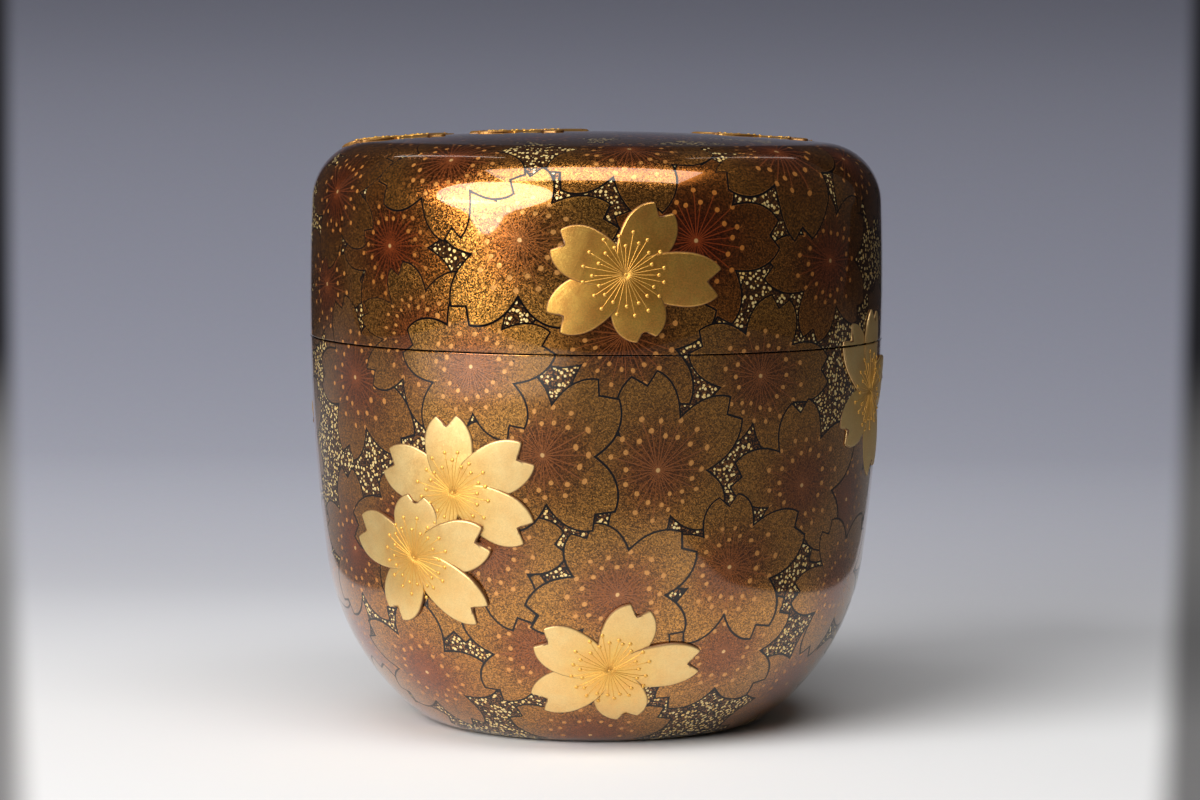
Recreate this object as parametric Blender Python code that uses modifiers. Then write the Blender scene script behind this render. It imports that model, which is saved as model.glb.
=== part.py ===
"""Lacquer tea caddy: a turned cup, a lid that slips over its collar, and raised blossoms laid on both.

Metres, +Z up. The origin is on the table under the axis, and the front of the ornament faces -Y.
The outline is a chain of arcs that meet smoothly. The walls, the lid's fit and the raised blossoms
are all worked out from that chain, so a change of one size carries through to what seats on it.
"""

import math
from typing import NamedTuple

import bmesh
import bpy
from mathutils import Matrix, Vector

MM = 0.001

# Outline of the closed caddy
CADDY_RADIUS = 33.0 * MM          # at the widest ring, just above the seam
BODY_HEIGHT = 44.3 * MM           # table to the ledge that the lid closes on
LID_HEIGHT = 23.3 * MM            # lid rim to the top of the crown
SEAM_GAP = 0.2 * MM               # the dark line between the ledge and the lid rim
WIDEST_ABOVE_SEAM = 4.7 * MM
LOWER_SIDE_ROUND = 228.5 * MM     # the long bow of the side below the widest ring
UPPER_SIDE_ROUND = 267.0 * MM     # and above it
HAUNCH_ROUND = 27.5 * MM          # the full curve of the lower body
FOOT_ROUND = 5.0 * MM             # the last turn on to the table
FOOT_RADIUS = 17.7 * MM           # outer edge of the ring that stands on the table
SHOULDER_ROUND = 7.0 * MM
CROWN_ROUND = 304.0 * MM          # the slight dome of the lid's top

# Walls of the turned wood
LID_WALL = 2.0 * MM
LID_CEILING = 3.0 * MM
LID_INNER_ROUND = 5.0 * MM
FIT_CLEARANCE = 0.2 * MM          # between the collar and the lid's bore, on the radius
COLLAR_WALL = 1.5 * MM
COLLAR_HEIGHT = 10.0 * MM         # how far the collar stands above the ledge
BODY_FLOOR = 3.5 * MM             # table to the inside of the cup
BOWL_ROUND = 16.0 * MM            # the round between the cup's floor and its wall
FOOT_RING_WIDTH = 2.1 * MM
FOOT_RECESS = 0.8 * MM            # how far the underside is turned back inside the ring
SEAM_EDGE_ROUND = 0.25 * MM       # softened corners of the ledge and the lid rim
COLLAR_EDGE_ROUND = 0.45 * MM
BORE_CHAMFER = 0.4 * MM           # leads the lid on to the collar

# Raised blossoms
RELIEF = 0.35 * MM                # how proud a blossom stands
RELIEF_SEAT = 0.05 * MM           # gap under a blossom, so that it seats without an overlap
PETAL_LENGTH = 10.0 * MM          # a long petal, from the blossom's centre to its tip
PETAL_WIDTH = 6.0 * MM
PETAL_BELLY = 0.62                # where a petal is widest, as a share of its length
NOTCH_DEPTH = 0.13                # depth of the cleft in a petal's tip, as a share of its length
LOBE_SPREAD = 0.14                # the two points beside the cleft, from the petal's middle line
OVERLAP_GAP = 0.15 * MM           # where one blossom lies over another
CUTTER_DEPTH = 4.0 * MM           # reach of a blossom's outline into the wall
CUTTER_HEIGHT = 2.0 * MM          # and out of it

# Facets: steps round the axis and along each kind of curve
TURNS = 60
EDGE_STEPS = 2
SIDE_STEPS = 4
CROWN_STEPS = 4
INNER_ROUND_STEPS = 4
BOWL_STEPS = 6
HAUNCH_STEPS = 7
SHOULDER_STEPS = 7
FOOT_STEPS = 3
PETAL_SIDE_STEPS = 4
SHARP_CORNER = math.radians(35)   # a sharper bend than this is shaded as an edge
WELD = 0.001 * MM

# Each blossom: where it lies and its petals as (direction in degrees, share of PETAL_LENGTH), counted
# anticlockwise from the right as seen from outside. Side blossoms are placed by the angle round the
# caddy from the front and by the share of the body's or lid's height that they stand above its foot.
BODY_BLOSSOMS = {
    "blossom_body_over": (-38.5, 0.485, ((15, 0.97), (83, 0.71), (164, 0.94), (239, 0.81), (322, 1.00))),
    "blossom_body_under": (-28.5, 0.655, ((27, 1.00), (94, 0.85), (162, 0.96), (230, 0.90), (334, 0.96))),
    "blossom_body_low": (3.5, 0.219, ((0, 1.00), (67, 0.82), (156, 0.86), (215, 0.94), (287, 0.77))),
    "blossom_body_back_high": (142.0, 0.700, ((20, 0.90), (88, 0.84), (160, 0.94), (232, 0.86), (303, 0.93))),
    "blossom_body_back_low": (192.0, 0.316, ((40, 0.88), (110, 0.92), (184, 0.84), (252, 0.94), (330, 0.90))),
    "blossom_body_left": (-104.0, 0.745, ((8, 0.86), (75, 0.94), (150, 0.88), (226, 0.92), (296, 0.84))),
}
LID_BLOSSOMS = {
    "blossom_lid_front": (5.5, 0.373, ((355, 1.04), (60, 0.83), (154, 0.84), (214, 0.93), (288, 0.74))),
    "blossom_lid_back": (168.0, 0.386, ((30, 0.90), (98, 0.82), (172, 0.92), (240, 0.88), (314, 0.92))),
}
# One blossom lies across the seam and is cut in two there: half rides on the lid, half on the body.
# Its height is counted from the seam, down the body.
SEAM_BLOSSOM = (70.0, 0.122, ((6, 0.94), (84, 0.92), (135, 0.98), (214, 0.84), (290, 1.02)))
# Blossoms on the lid's top: (x, y) from the axis as shares of the caddy's radius, and petal directions
# as seen from above.
TOP_BLOSSOMS = {
    "blossom_top_left": (-0.712, 0.045, ((24, 0.72), (98, 0.78), (170, 0.60), (236, 0.74), (310, 0.78))),
    "blossom_top_middle": (-0.258, 0.121, ((4, 0.76), (76, 0.82), (138, 0.74), (212, 0.68), (290, 0.80))),
    "blossom_top_right": (0.576, 0.288, ((12, 0.72), (82, 0.78), (156, 0.82), (226, 0.84), (300, 0.80))),
}
# A blossom that is partly covered, and the one that lies over it
COVERED = {"blossom_body_under": "blossom_body_over"}

SEAM_HEIGHT = BODY_HEIGHT + SEAM_GAP / 2
LID_RIM = BODY_HEIGHT + SEAM_GAP
WIDEST_HEIGHT = SEAM_HEIGHT + WIDEST_ABOVE_SEAM
CROWN_HEIGHT = LID_RIM + LID_HEIGHT
LID_BORE = CADDY_RADIUS - LID_WALL
COLLAR_RADIUS = LID_BORE - FIT_CLEARANCE
CUP_RADIUS = COLLAR_RADIUS - COLLAR_WALL
BODY_WALL = CADDY_RADIUS - CUP_RADIUS


class Arc(NamedTuple):
    """A stretch of a turned outline: a circle's centre and radius, and the angles it runs between."""

    r: float
    z: float
    radius: float
    start: float
    end: float
    steps: int

    def points(self, offset=0.0):
        reach = self.radius + offset
        turn = (self.end - self.start) / self.steps
        angles = [self.start + turn * i for i in range(self.steps + 1)]
        return [(self.r + reach * math.cos(a), self.z + reach * math.sin(a)) for a in angles]


def nested_circle(outer, inner, radius):
    """Centre of the circle that touches a big circle from inside and a small one from outside it."""
    span = math.dist(outer[:2], inner[:2])
    to_outer = outer[2] - radius
    to_inner = abs(radius - inner[2])
    along = (to_outer**2 - to_inner**2 + span**2) / (2 * span)
    across = math.sqrt(to_outer**2 - along**2)
    step_r = (inner[0] - outer[0]) / span
    step_z = (inner[1] - outer[1]) / span
    return outer[0] + along * step_r - across * step_z, outer[1] + along * step_z + across * step_r


def bearing(start, end):
    return math.atan2(end[1] - start[1], end[0] - start[0])


def side_angle(circle, height):
    return math.asin((height - circle[1]) / circle[2])


LOWER_SIDE = (CADDY_RADIUS - LOWER_SIDE_ROUND, WIDEST_HEIGHT, LOWER_SIDE_ROUND)
UPPER_SIDE = (CADDY_RADIUS - UPPER_SIDE_ROUND, WIDEST_HEIGHT, UPPER_SIDE_ROUND)
FOOT = (FOOT_RADIUS, FOOT_ROUND, FOOT_ROUND)
CROWN = (0.0, CROWN_HEIGHT - CROWN_ROUND, CROWN_ROUND)


def body_outline():
    """The body's outside from its ledge down to the table."""
    haunch = nested_circle(LOWER_SIDE, FOOT, HAUNCH_ROUND)
    ledge = side_angle(LOWER_SIDE, BODY_HEIGHT - SEAM_EDGE_ROUND)
    side_end = bearing(LOWER_SIDE, haunch)
    haunch_end = bearing(haunch, FOOT)
    return [
        Arc(*LOWER_SIDE, ledge, side_end, SIDE_STEPS),
        Arc(*haunch, HAUNCH_ROUND, side_end, haunch_end, HAUNCH_STEPS),
        Arc(*FOOT, haunch_end, -math.pi / 2, FOOT_STEPS),
    ]


def lid_outline():
    """The lid's outside from the axis, over the crown and the shoulder, down to its rim."""
    shoulder = nested_circle(UPPER_SIDE, CROWN, SHOULDER_ROUND)
    crown_end = bearing(CROWN, shoulder)
    shoulder_end = bearing(UPPER_SIDE, shoulder)
    rim = side_angle(LOWER_SIDE, LID_RIM + SEAM_EDGE_ROUND)
    return [
        Arc(*CROWN, math.pi / 2, crown_end, CROWN_STEPS),
        Arc(*shoulder, SHOULDER_ROUND, crown_end, shoulder_end, SHOULDER_STEPS),
        Arc(*UPPER_SIDE, shoulder_end, 0.0, SIDE_STEPS // 2),
        Arc(*LOWER_SIDE, 0.0, rim, 1),
    ]


def trace(arcs, offset=0.0):
    """Points along a chain of arcs, each joint once, moved outwards by offset."""
    points = arcs[0].points(offset)
    for arc in arcs[1:]:
        points += arc.points(offset)[1:]
    return points


def corner(r, z, radius, start, end, steps=EDGE_STEPS):
    return Arc(r, z, radius, start, end, steps).points()


def body_profile():
    """The cup's half section: floor, inner wall, collar, ledge, outside, foot ring and recess."""
    inner_side = LOWER_SIDE[2] - BODY_WALL
    bowl_z = BODY_FLOOR + BOWL_ROUND
    bowl_r = LOWER_SIDE[0] + math.sqrt((inner_side - BOWL_ROUND) ** 2 - (bowl_z - WIDEST_HEIGHT) ** 2)
    bowl_end = bearing(LOWER_SIDE, (bowl_r, bowl_z))
    collar_top = BODY_HEIGHT + COLLAR_HEIGHT
    edge = COLLAR_EDGE_ROUND
    outside = trace(body_outline())
    ledge_r = outside[0][0] - SEAM_EDGE_ROUND
    ring_inner = FOOT_RADIUS - FOOT_RING_WIDTH
    points = [(0.0, BODY_FLOOR)]
    points += Arc(bowl_r, bowl_z, BOWL_ROUND, -math.pi / 2, bowl_end, BOWL_STEPS).points()
    points += Arc(*LOWER_SIDE[:2], inner_side, bowl_end, 0.0, SIDE_STEPS).points()[1:]
    points += corner(CUP_RADIUS + edge, collar_top - edge, edge, math.pi, math.pi / 2)
    points += corner(COLLAR_RADIUS - edge, collar_top - edge, edge, math.pi / 2, 0.0)
    points += [(COLLAR_RADIUS, BODY_HEIGHT)]
    points += corner(ledge_r, outside[0][1], SEAM_EDGE_ROUND, math.pi / 2, 0.0)[:-1]
    points += outside
    points += [(ring_inner, 0.0), (ring_inner - FOOT_RECESS, FOOT_RECESS), (0.0, FOOT_RECESS)]
    return points


def lid_profile():
    """The cap's half section: crown, shoulder, side, rim, bore, inner round and ceiling."""
    outside = trace(lid_outline())
    rim_r, rim_z = outside[-1][0] - SEAM_EDGE_ROUND, outside[-1][1]
    ceiling = CROWN_HEIGHT - LID_CEILING
    round_r, round_z = LID_BORE - LID_INNER_ROUND, ceiling - LID_INNER_ROUND
    points = outside + corner(rim_r, rim_z, SEAM_EDGE_ROUND, 0.0, -math.pi / 2)[1:]
    points += [(LID_BORE + BORE_CHAMFER, LID_RIM), (LID_BORE, LID_RIM + BORE_CHAMFER)]
    points += corner(round_r, round_z, LID_INNER_ROUND, 0.0, math.pi / 2, INNER_ROUND_STEPS)
    points += [(0.0, ceiling)]
    return points


def relief_profile(arcs):
    """Half section of the layer that blossoms are cut from: the outline's own curve, seated and raised."""
    face = trace(arcs, RELIEF_SEAT + RELIEF)
    back = trace(arcs, RELIEF_SEAT)
    return face + back[::-1]


def petal_reach(turn, length):
    """How far a petal reaches in a direction, turn radians off its middle line.

    A petal is two half ellipses that share its widest line, with a V cleft at the tip.
    """
    c, s = math.cos(turn), abs(math.sin(turn))
    if c <= 0:
        return 0.0
    belly = PETAL_BELLY * length
    half = PETAL_WIDTH / 2
    near = (2 * c / belly) / ((c / belly) ** 2 + (s / half) ** 2)
    cleft = (1 - NOTCH_DEPTH) * length
    lobe = LOBE_SPREAD * length
    # The far ellipse is as long as brings it through the lobes' points.
    far = (length - belly) / math.sqrt(1 - (lobe / half) ** 2)
    a = (c / far) ** 2 + (s / half) ** 2
    b = belly * c / far**2
    bend = b**2 - a * ((belly / far) ** 2 - 1)
    beyond = (b + math.sqrt(bend)) / a if bend >= 0 else 0.0
    reach = beyond if near * c > belly else near
    slope = (length - cleft) / lobe
    steep = c - slope * s
    return min(reach, cleft / steep) if steep > 0 else reach


def meeting_turn(first, second):
    """The direction of the valley between two petals, found by halving."""
    low, high = first[0], second[0]
    for _ in range(40):
        middle = (low + high) / 2
        if petal_reach(middle - first[0], first[1]) > petal_reach(second[0] - middle, second[1]):
            low = middle
        else:
            high = middle
    return (low + high) / 2


def blossom_outline(petals, grow=0.0):
    """The flat outline of five petals round one centre, as points, anticlockwise."""
    ring = [(math.radians(turn), share * PETAL_LENGTH) for turn, share in petals]
    ring.sort(key=lambda petal: petal[0])
    outline = []
    last, first = ring[-1], ring[0]
    ring = [(last[0] - math.tau, last[1]), *ring, (first[0] + math.tau, first[1])]
    lobe = math.atan(LOBE_SPREAD)
    shares = [k / PETAL_SIDE_STEPS for k in range(PETAL_SIDE_STEPS)]
    for before, petal, after in zip(ring, ring[1:], ring[2:]):
        middle = petal[0]
        from_valley = middle - lobe - meeting_turn(before, petal)
        to_valley = meeting_turn(petal, after) - middle - lobe
        turns = [middle - lobe - from_valley * (1 - share) for share in shares]
        turns += [middle - lobe, middle]
        turns += [middle + lobe + to_valley * share for share in shares]
        for turn in turns:
            reach = petal_reach(turn - petal[0], petal[1]) + grow
            outline.append((reach * math.cos(turn), reach * math.sin(turn)))
    return outline


def seat_on_side(arcs, azimuth, height):
    """A frame on the caddy's side: X to the right, Y up the wall and Z straight out of it."""
    around = math.radians(azimuth)
    r, z, out_r, out_z = point_at_height(arcs, height)
    right = Vector((math.cos(around), math.sin(around), 0.0))
    away = Vector((math.sin(around), -math.cos(around), 0.0))
    out = away * out_r + Vector((0.0, 0.0, out_z))
    return frame_at(away * r + Vector((0.0, 0.0, z)), right, out)


def seat_on_top(x, y):
    """A frame on the lid's crown: X and Y as seen from above and Z straight out of it."""
    centre = Vector((0.0, 0.0, CROWN[1]))
    foot = Vector((x, y, CROWN[1] + math.sqrt(CROWN_ROUND**2 - x**2 - y**2)))
    out = (foot - centre).normalized()
    right = Vector((0.0, 1.0, 0.0)).cross(out).normalized()
    return frame_at(foot, right, out)


def frame_at(place, right, out):
    up = out.cross(right)
    turn = Matrix((right, up, out)).transposed()
    return Matrix.Translation(place) @ turn.to_4x4()


def point_at_height(arcs, height):
    """The outline's point at a height, with the direction that the wall faces there."""
    for arc in arcs:
        low, high = sorted(arc.z + arc.radius * math.sin(turn) for turn in (arc.start, arc.end))
        if low <= height <= high:
            out_z = (height - arc.z) / arc.radius
            out_r = math.sqrt(1 - out_z**2)
            return arc.r + arc.radius * out_r, height, out_r, out_z
    raise ValueError("the outline has no wall at this height")


def new_collection(name):
    collection = bpy.data.collections.new(name)
    bpy.context.scene.collection.children.link(collection)
    return collection


def lacquer(name, colour, roughness, metallic):
    material = bpy.data.materials.new(name)
    material.use_nodes = True
    shader = material.node_tree.nodes["Principled BSDF"]
    shader.inputs["Base Color"].default_value = (*colour, 1.0)
    shader.inputs["Roughness"].default_value = roughness
    shader.inputs["Metallic"].default_value = metallic
    return material


def turned(name, profile, material, closed=False):
    """Spins a half section round the axis. It runs down the outside, so its faces point out."""
    mesh = bpy.data.meshes.new(name)
    shape = bmesh.new()
    ring = [shape.verts.new((r, 0.0, z)) for r, z in profile]
    for i in range(len(ring) - 1):
        shape.edges.new((ring[i], ring[i + 1]))
    if closed:
        shape.edges.new((ring[-1], ring[0]))
    shape.to_mesh(mesh)
    shape.free()
    mesh.materials.append(material)
    piece = bpy.data.objects.new(name, mesh)
    parts.objects.link(piece)
    screw = piece.modifiers.new("turn", "SCREW")
    screw.steps = TURNS
    screw.render_steps = TURNS
    screw.use_merge_vertices = True
    screw.merge_threshold = WELD
    return piece


def blossom_cutter(name, petals, seat, grow=0.0):
    """A prism of the blossom's outline, standing across the wall where the blossom lies."""
    curve = bpy.data.curves.new(name, "CURVE")
    curve.dimensions = "2D"
    curve.fill_mode = "BOTH"
    curve.extrude = (CUTTER_DEPTH + CUTTER_HEIGHT) / 2
    spline = curve.splines.new("POLY")
    outline = blossom_outline(petals, grow)
    spline.points.add(len(outline) - 1)
    for point, (x, y) in zip(spline.points, outline):
        point.co = (x, y, 0.0, 1.0)
    spline.use_cyclic_u = True
    flat = bpy.data.objects.new(name, curve)
    cutters.objects.link(flat)
    sunk = Matrix.Translation((0.0, 0.0, (CUTTER_HEIGHT - CUTTER_DEPTH) / 2))
    mesh = bpy.data.meshes.new_from_object(flat.evaluated_get(bpy.context.evaluated_depsgraph_get()))
    bpy.data.objects.remove(flat)
    shape = bmesh.new()
    shape.from_mesh(mesh)
    bmesh.ops.remove_doubles(shape, verts=shape.verts, dist=WELD)
    shape.to_mesh(mesh)
    shape.free()
    cutter = bpy.data.objects.new(name, mesh)
    cutter.matrix_world = seat @ sunk
    cutter.hide_render = True
    cutter.display_type = "WIRE"
    cutters.objects.link(cutter)
    return cutter


def boolean(piece, cutter, operation):
    cut = piece.modifiers.new(operation.lower(), "BOOLEAN")
    cut.operation = operation
    cut.solver = "EXACT"
    cut.object = cutter


def settle(piece):
    """Applies the modifiers, and shades the turned faces smooth up to their real corners."""
    bpy.context.view_layer.update()
    graph = bpy.context.evaluated_depsgraph_get()
    mesh = bpy.data.meshes.new_from_object(piece.evaluated_get(graph))
    piece.modifiers.clear()
    piece.data = mesh
    mesh.shade_smooth()
    mesh.set_sharp_from_angle(angle=SHARP_CORNER)


def raised_blossom(name, arcs, seat, petals, carrier, over=None):
    """A blossom cut from the relief layer by its outline. over is a blossom that lies on top of it."""
    closed = abs(trace(arcs)[0][0]) > MM
    piece = turned(name, relief_profile(arcs), pale_gold, closed)
    boolean(piece, blossom_cutter(f"{name}_outline", petals, seat), "INTERSECT")
    if over:
        top_petals, top_seat = over
        boolean(piece, blossom_cutter(f"{name}_gap", top_petals, top_seat, OVERLAP_GAP), "DIFFERENCE")
    settle(piece)
    piece.parent = carrier
    return piece


for old in list(bpy.data.objects):
    bpy.data.objects.remove(old)
parts = new_collection("lacquer_tea_caddy")
cutters = new_collection("cutters")
brown_gold = lacquer("body_lacquer", (0.20, 0.115, 0.035), 0.18, 0.45)
amber_gold = lacquer("lid_lacquer", (0.21, 0.095, 0.025), 0.16, 0.45)
pale_gold = lacquer("pale_gold", (0.80, 0.60, 0.28), 0.38, 0.75)

body = turned("caddy_body", body_profile(), brown_gold)
lid = turned("caddy_lid", lid_profile(), amber_gold)
settle(body)
settle(lid)

body_arcs = body_outline()
lid_arcs = lid_outline()
seats = {}
for name, (azimuth, share, petals) in BODY_BLOSSOMS.items():
    seats[name] = seat_on_side(body_arcs, azimuth, share * BODY_HEIGHT)
for name, (azimuth, share, petals) in BODY_BLOSSOMS.items():
    top = COVERED.get(name)
    over = (BODY_BLOSSOMS[top][2], seats[top]) if top else None
    raised_blossom(name, body_arcs, seats[name], petals, body, over)

for name, (azimuth, share, petals) in LID_BLOSSOMS.items():
    seat = seat_on_side(lid_arcs, azimuth, SEAM_HEIGHT + share * LID_HEIGHT)
    raised_blossom(name, lid_arcs, seat, petals, lid)
for name, (x, y, petals) in TOP_BLOSSOMS.items():
    seat = seat_on_top(x * CADDY_RADIUS, y * CADDY_RADIUS)
    raised_blossom(name, lid_arcs, seat, petals, lid)

azimuth, share, petals = SEAM_BLOSSOM
seam_seat = seat_on_side(body_arcs, azimuth, SEAM_HEIGHT - share * BODY_HEIGHT)
raised_blossom("blossom_seam_body_half", body_arcs, seam_seat, petals, body)
raised_blossom("blossom_seam_lid_half", lid_arcs, seam_seat, petals, lid)
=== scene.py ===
# %% [markdown]
# # A lacquer tea caddy with painted and raised cherry blossoms
#
# The object is a small turned box for powdered tea: a cup, and a lid that slips over the cup's collar.
# Every side is covered with cherry blossoms in gold powder, sunk under clear lacquer and polished level
# with it, and a few blossoms in pale gold stand a third of a millimetre proud.
#
# The imported model gives the shapes and the two bodies that move. This script gives the looks. It starts
# by loading that model.

import math
import random
from contextlib import contextmanager

import bpy
import numpy as np
from mathutils import Matrix, Vector


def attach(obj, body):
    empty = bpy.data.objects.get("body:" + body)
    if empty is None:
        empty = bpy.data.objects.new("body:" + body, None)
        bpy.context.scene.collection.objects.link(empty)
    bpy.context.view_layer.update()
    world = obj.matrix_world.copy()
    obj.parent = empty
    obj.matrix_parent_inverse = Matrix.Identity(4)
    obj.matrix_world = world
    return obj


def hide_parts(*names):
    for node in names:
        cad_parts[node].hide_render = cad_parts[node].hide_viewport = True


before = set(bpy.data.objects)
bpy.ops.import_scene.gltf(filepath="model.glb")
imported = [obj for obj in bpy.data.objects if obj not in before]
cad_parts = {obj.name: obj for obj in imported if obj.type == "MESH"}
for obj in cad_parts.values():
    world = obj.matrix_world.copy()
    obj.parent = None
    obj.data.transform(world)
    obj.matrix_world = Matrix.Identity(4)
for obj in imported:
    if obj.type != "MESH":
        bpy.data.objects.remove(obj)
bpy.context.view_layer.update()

MM = 0.001

# %% [markdown]
# ## Two small kits
#
# Operators act on what is selected, and those that change a mesh run in edit mode. Short helpers see to
# both. The second kit, for wiring materials, follows after the camera.

# %% Shape helpers
def begin(add_shape, name, **sizes):
    """Adds a basic shape, a lamp or a camera with nothing else selected, and names it."""
    bpy.ops.object.select_all(action="DESELECT")
    add_shape(**sizes)
    piece = bpy.context.object
    piece.name = piece.data.name = name
    return piece


@contextmanager
def editing():
    """Runs the steps inside it in edit mode."""
    bpy.ops.object.mode_set(mode="EDIT")
    yield
    bpy.ops.object.mode_set(mode="OBJECT")


def only(piece):
    """Selects one piece alone, so that an operator acts on nothing else."""
    bpy.ops.object.select_all(action="DESELECT")
    piece.select_set(True)
    bpy.context.view_layer.objects.active = piece


def select_edges(piece, wanted):
    """Selects the edges whose two ends pass a test, and sets edit mode to edges."""
    for face in piece.data.polygons:
        face.select = False
    for edge in piece.data.edges:
        edge.select = wanted(*(piece.data.vertices[i].co for i in edge.vertices))
    bpy.context.tool_settings.mesh_select_mode = (False, True, False)


print("shape helpers ready")

# %% [markdown]
# ## The camera
#
# The picture was taken from about 450 mm in front of the caddy, a little above its lid and looking 5
# degrees down, with a long lens. A long lens from there keeps the sides nearly parallel, yet the seam
# still shows as a shallow curve. The camera leans by a third of a degree, as the picture does.

# %% Place the camera
CAMERA_PLACE = Vector((0.5, -450.0, 76.0)) * MM
CAMERA_DOWN, CAMERA_LEAN = 0.087, 0.006
LENS, SENSOR = 117.05, 36.0       # focal length and width of the sensor, in mm

camera = begin(bpy.ops.object.camera_add, "camera", location=CAMERA_PLACE)
look = Matrix.Rotation(math.pi / 2 - CAMERA_DOWN, 4, "X") @ Matrix.Rotation(CAMERA_LEAN, 4, "Z")
camera.rotation_euler = look.to_euler()
camera.data.sensor_width, camera.data.lens = SENSOR, LENS
camera.data.clip_start = 10 * MM
bpy.context.scene.camera = camera
bpy.context.scene.view_settings.view_transform = "Standard"
print("camera", [round(x / MM, 1) for x in camera.location], "mm, lens", LENS)

# %% [markdown]
# ## Wiring materials
#
# A finish is a chain of nodes. The helpers below work on the node tree that was begun last. Each adds a
# node, feeds its inputs by name or in order, and gives back its outputs as wires. Sums written with wires
# become Math nodes, so a formula reads here as it does on paper. Effects that several finishes share are
# node groups, made once and placed with their own values.

# %% Node helpers
class Bench:
    """Holds the node tree that is being wired: that of the material or group begun last."""

    tree = None


class Wire:
    """A value on its way through the nodes. + - * / and abs() of wires add Math nodes."""

    def __init__(self, socket):
        self.socket = socket

    def __add__(self, other):
        return maths("ADD", self, other)

    def __sub__(self, other):
        return maths("SUBTRACT", self, other)

    def __rsub__(self, other):
        return maths("SUBTRACT", other, self)

    def __mul__(self, other):
        return maths("MULTIPLY", self, other)

    def __truediv__(self, other):
        return maths("DIVIDE", self, other)

    def __abs__(self):
        return maths("ABSOLUTE", self)


def feed(sockets, sources):
    """Feeds sockets by name or number. A wire is linked, a plain value typed in, and None skipped."""
    for name, source in sources.items():
        if isinstance(source, Wire):
            Bench.tree.links.new(source.socket, sockets[name])
        elif source is not None:
            sockets[name].default_value = source


def new_node(kind, sources, **settings):
    node = Bench.tree.nodes.new(kind)
    for name, value in settings.items():
        setattr(node, name, value)
    feed(node.inputs, sources)
    return node


def wires(node):
    return {socket.name: Wire(socket) for socket in node.outputs}


def add(kind, *sources, **settings):
    return wires(new_node(kind, dict(enumerate(sources)), **settings))


def maths(operation, *sources):
    return add("ShaderNodeMath", *sources, operation=operation)["Value"]


def vectors(operation, *sources, output="Vector"):
    return add("ShaderNodeVectorMath", *sources, operation=operation)[output]


def place_on_piece():
    return add("ShaderNodeTexCoord")["Object"]


def clouds(place, scale, detail=None, output="Fac"):
    sources = {"Vector": place, "Scale": scale, "Detail": detail}
    return wires(new_node("ShaderNodeTexNoise", sources))[output]


def blend_values(share, low, high):
    return Wire(new_node("ShaderNodeMix", {0: share, 2: low, 3: high}, data_type="FLOAT").outputs[0])


def blend_colours(share, low, high, blend_type="MIX"):
    node = new_node("ShaderNodeMix", {0: share, 6: low, 7: high}, data_type="RGBA", blend_type=blend_type)
    return Wire(node.outputs[2])


def soft_step(value, start, end, first=0.0, last=1.0):
    """Goes softly from first to last while the value goes from start to end."""
    sources = {"Value": value, "From Min": start, "From Max": end, "To Min": first, "To Max": last}
    return Wire(new_node("ShaderNodeMapRange", sources, interpolation_type="SMOOTHSTEP").outputs[0])


def step_down(value, edge, softness):
    """1 well below edge, 0 well above it, and a soft step between."""
    return soft_step(value, edge - softness, edge + softness, 1.0, 0.0)


def new_group(name, inputs, outputs):
    """Begins a node group. Gives it, its inputs as wires and the sockets of its results."""
    group = Bench.tree = bpy.data.node_groups.new(name, "ShaderNodeTree")
    for way, rows in (("INPUT", inputs), ("OUTPUT", outputs)):
        for title, kind, *value in rows:
            socket = group.interface.new_socket(title, in_out=way, socket_type=f"NodeSocket{kind}")
            if value:
                socket.default_value = value[0]
    return group, add("NodeGroupInput"), new_node("NodeGroupOutput", {}).inputs


def place_group(group, sources):
    return wires(new_node("ShaderNodeGroup", sources, node_tree=group))


def new_material(name):
    """Begins a material. Gives it and the inputs of its shader."""
    material = bpy.data.materials.new(name)
    material.use_nodes = True
    Bench.tree = material.node_tree
    return material, Bench.tree.nodes["Principled BSDF"].inputs


print("node helpers ready")

# %% [markdown]
# ## The table and the backdrop
#
# The caddy stands on a white sheet that sweeps up behind it, so no horizon shows. It is one plane with its
# back edge extruded upwards and the fold rounded by a bevel. The colour runs from white near the caddy to
# blue-grey and black high up, as on the graded paper that such pictures use. From the picture's side edges
# outwards, and in front of it, the sheet is painted grey as shade: mid grey at the left, darker in front and
# at the right. This painted shade is there because polished lacquer is a mirror, and a white table in it
# would turn its black to grey. Beyond the left grey the sheet's front corner is painted brighter than the
# paper, a painted pool of light, and that far white is the broad glow in the gold below the seam.

# %% Build the sweep
SHEET_WIDTH = 1040 * MM
SHEET_FRONT = -430 * MM
SHEET_FOLD = 430 * MM             # where the sheet starts to rise, behind the caddy
SHEET_TOP = 480 * MM
FOLD_ROUND, FOLD_STEPS = 320 * MM, 24

sheet = begin(bpy.ops.mesh.primitive_plane_add, "paper_sweep", size=1.0)
for vertex in sheet.data.vertices:
    vertex.co = (vertex.co.x * SHEET_WIDTH, SHEET_FOLD if vertex.co.y > 0 else SHEET_FRONT, 0.0)
select_edges(sheet, lambda a, b: a.y > 0 and b.y > 0)
with editing():
    bpy.ops.mesh.extrude_region_move(TRANSFORM_OT_translate={"value": (0, 0, SHEET_TOP)})
select_edges(sheet, lambda a, b: min(a.y, b.y) > SHEET_FOLD - MM and max(a.z, b.z) < MM)
with editing():
    bpy.ops.mesh.bevel(offset=FOLD_ROUND, segments=FOLD_STEPS, affect="EDGES")
bpy.ops.object.shade_smooth()
bpy.context.tool_settings.mesh_select_mode = (True, False, False)
print("sweep:", len(sheet.data.polygons), "faces")

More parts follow.
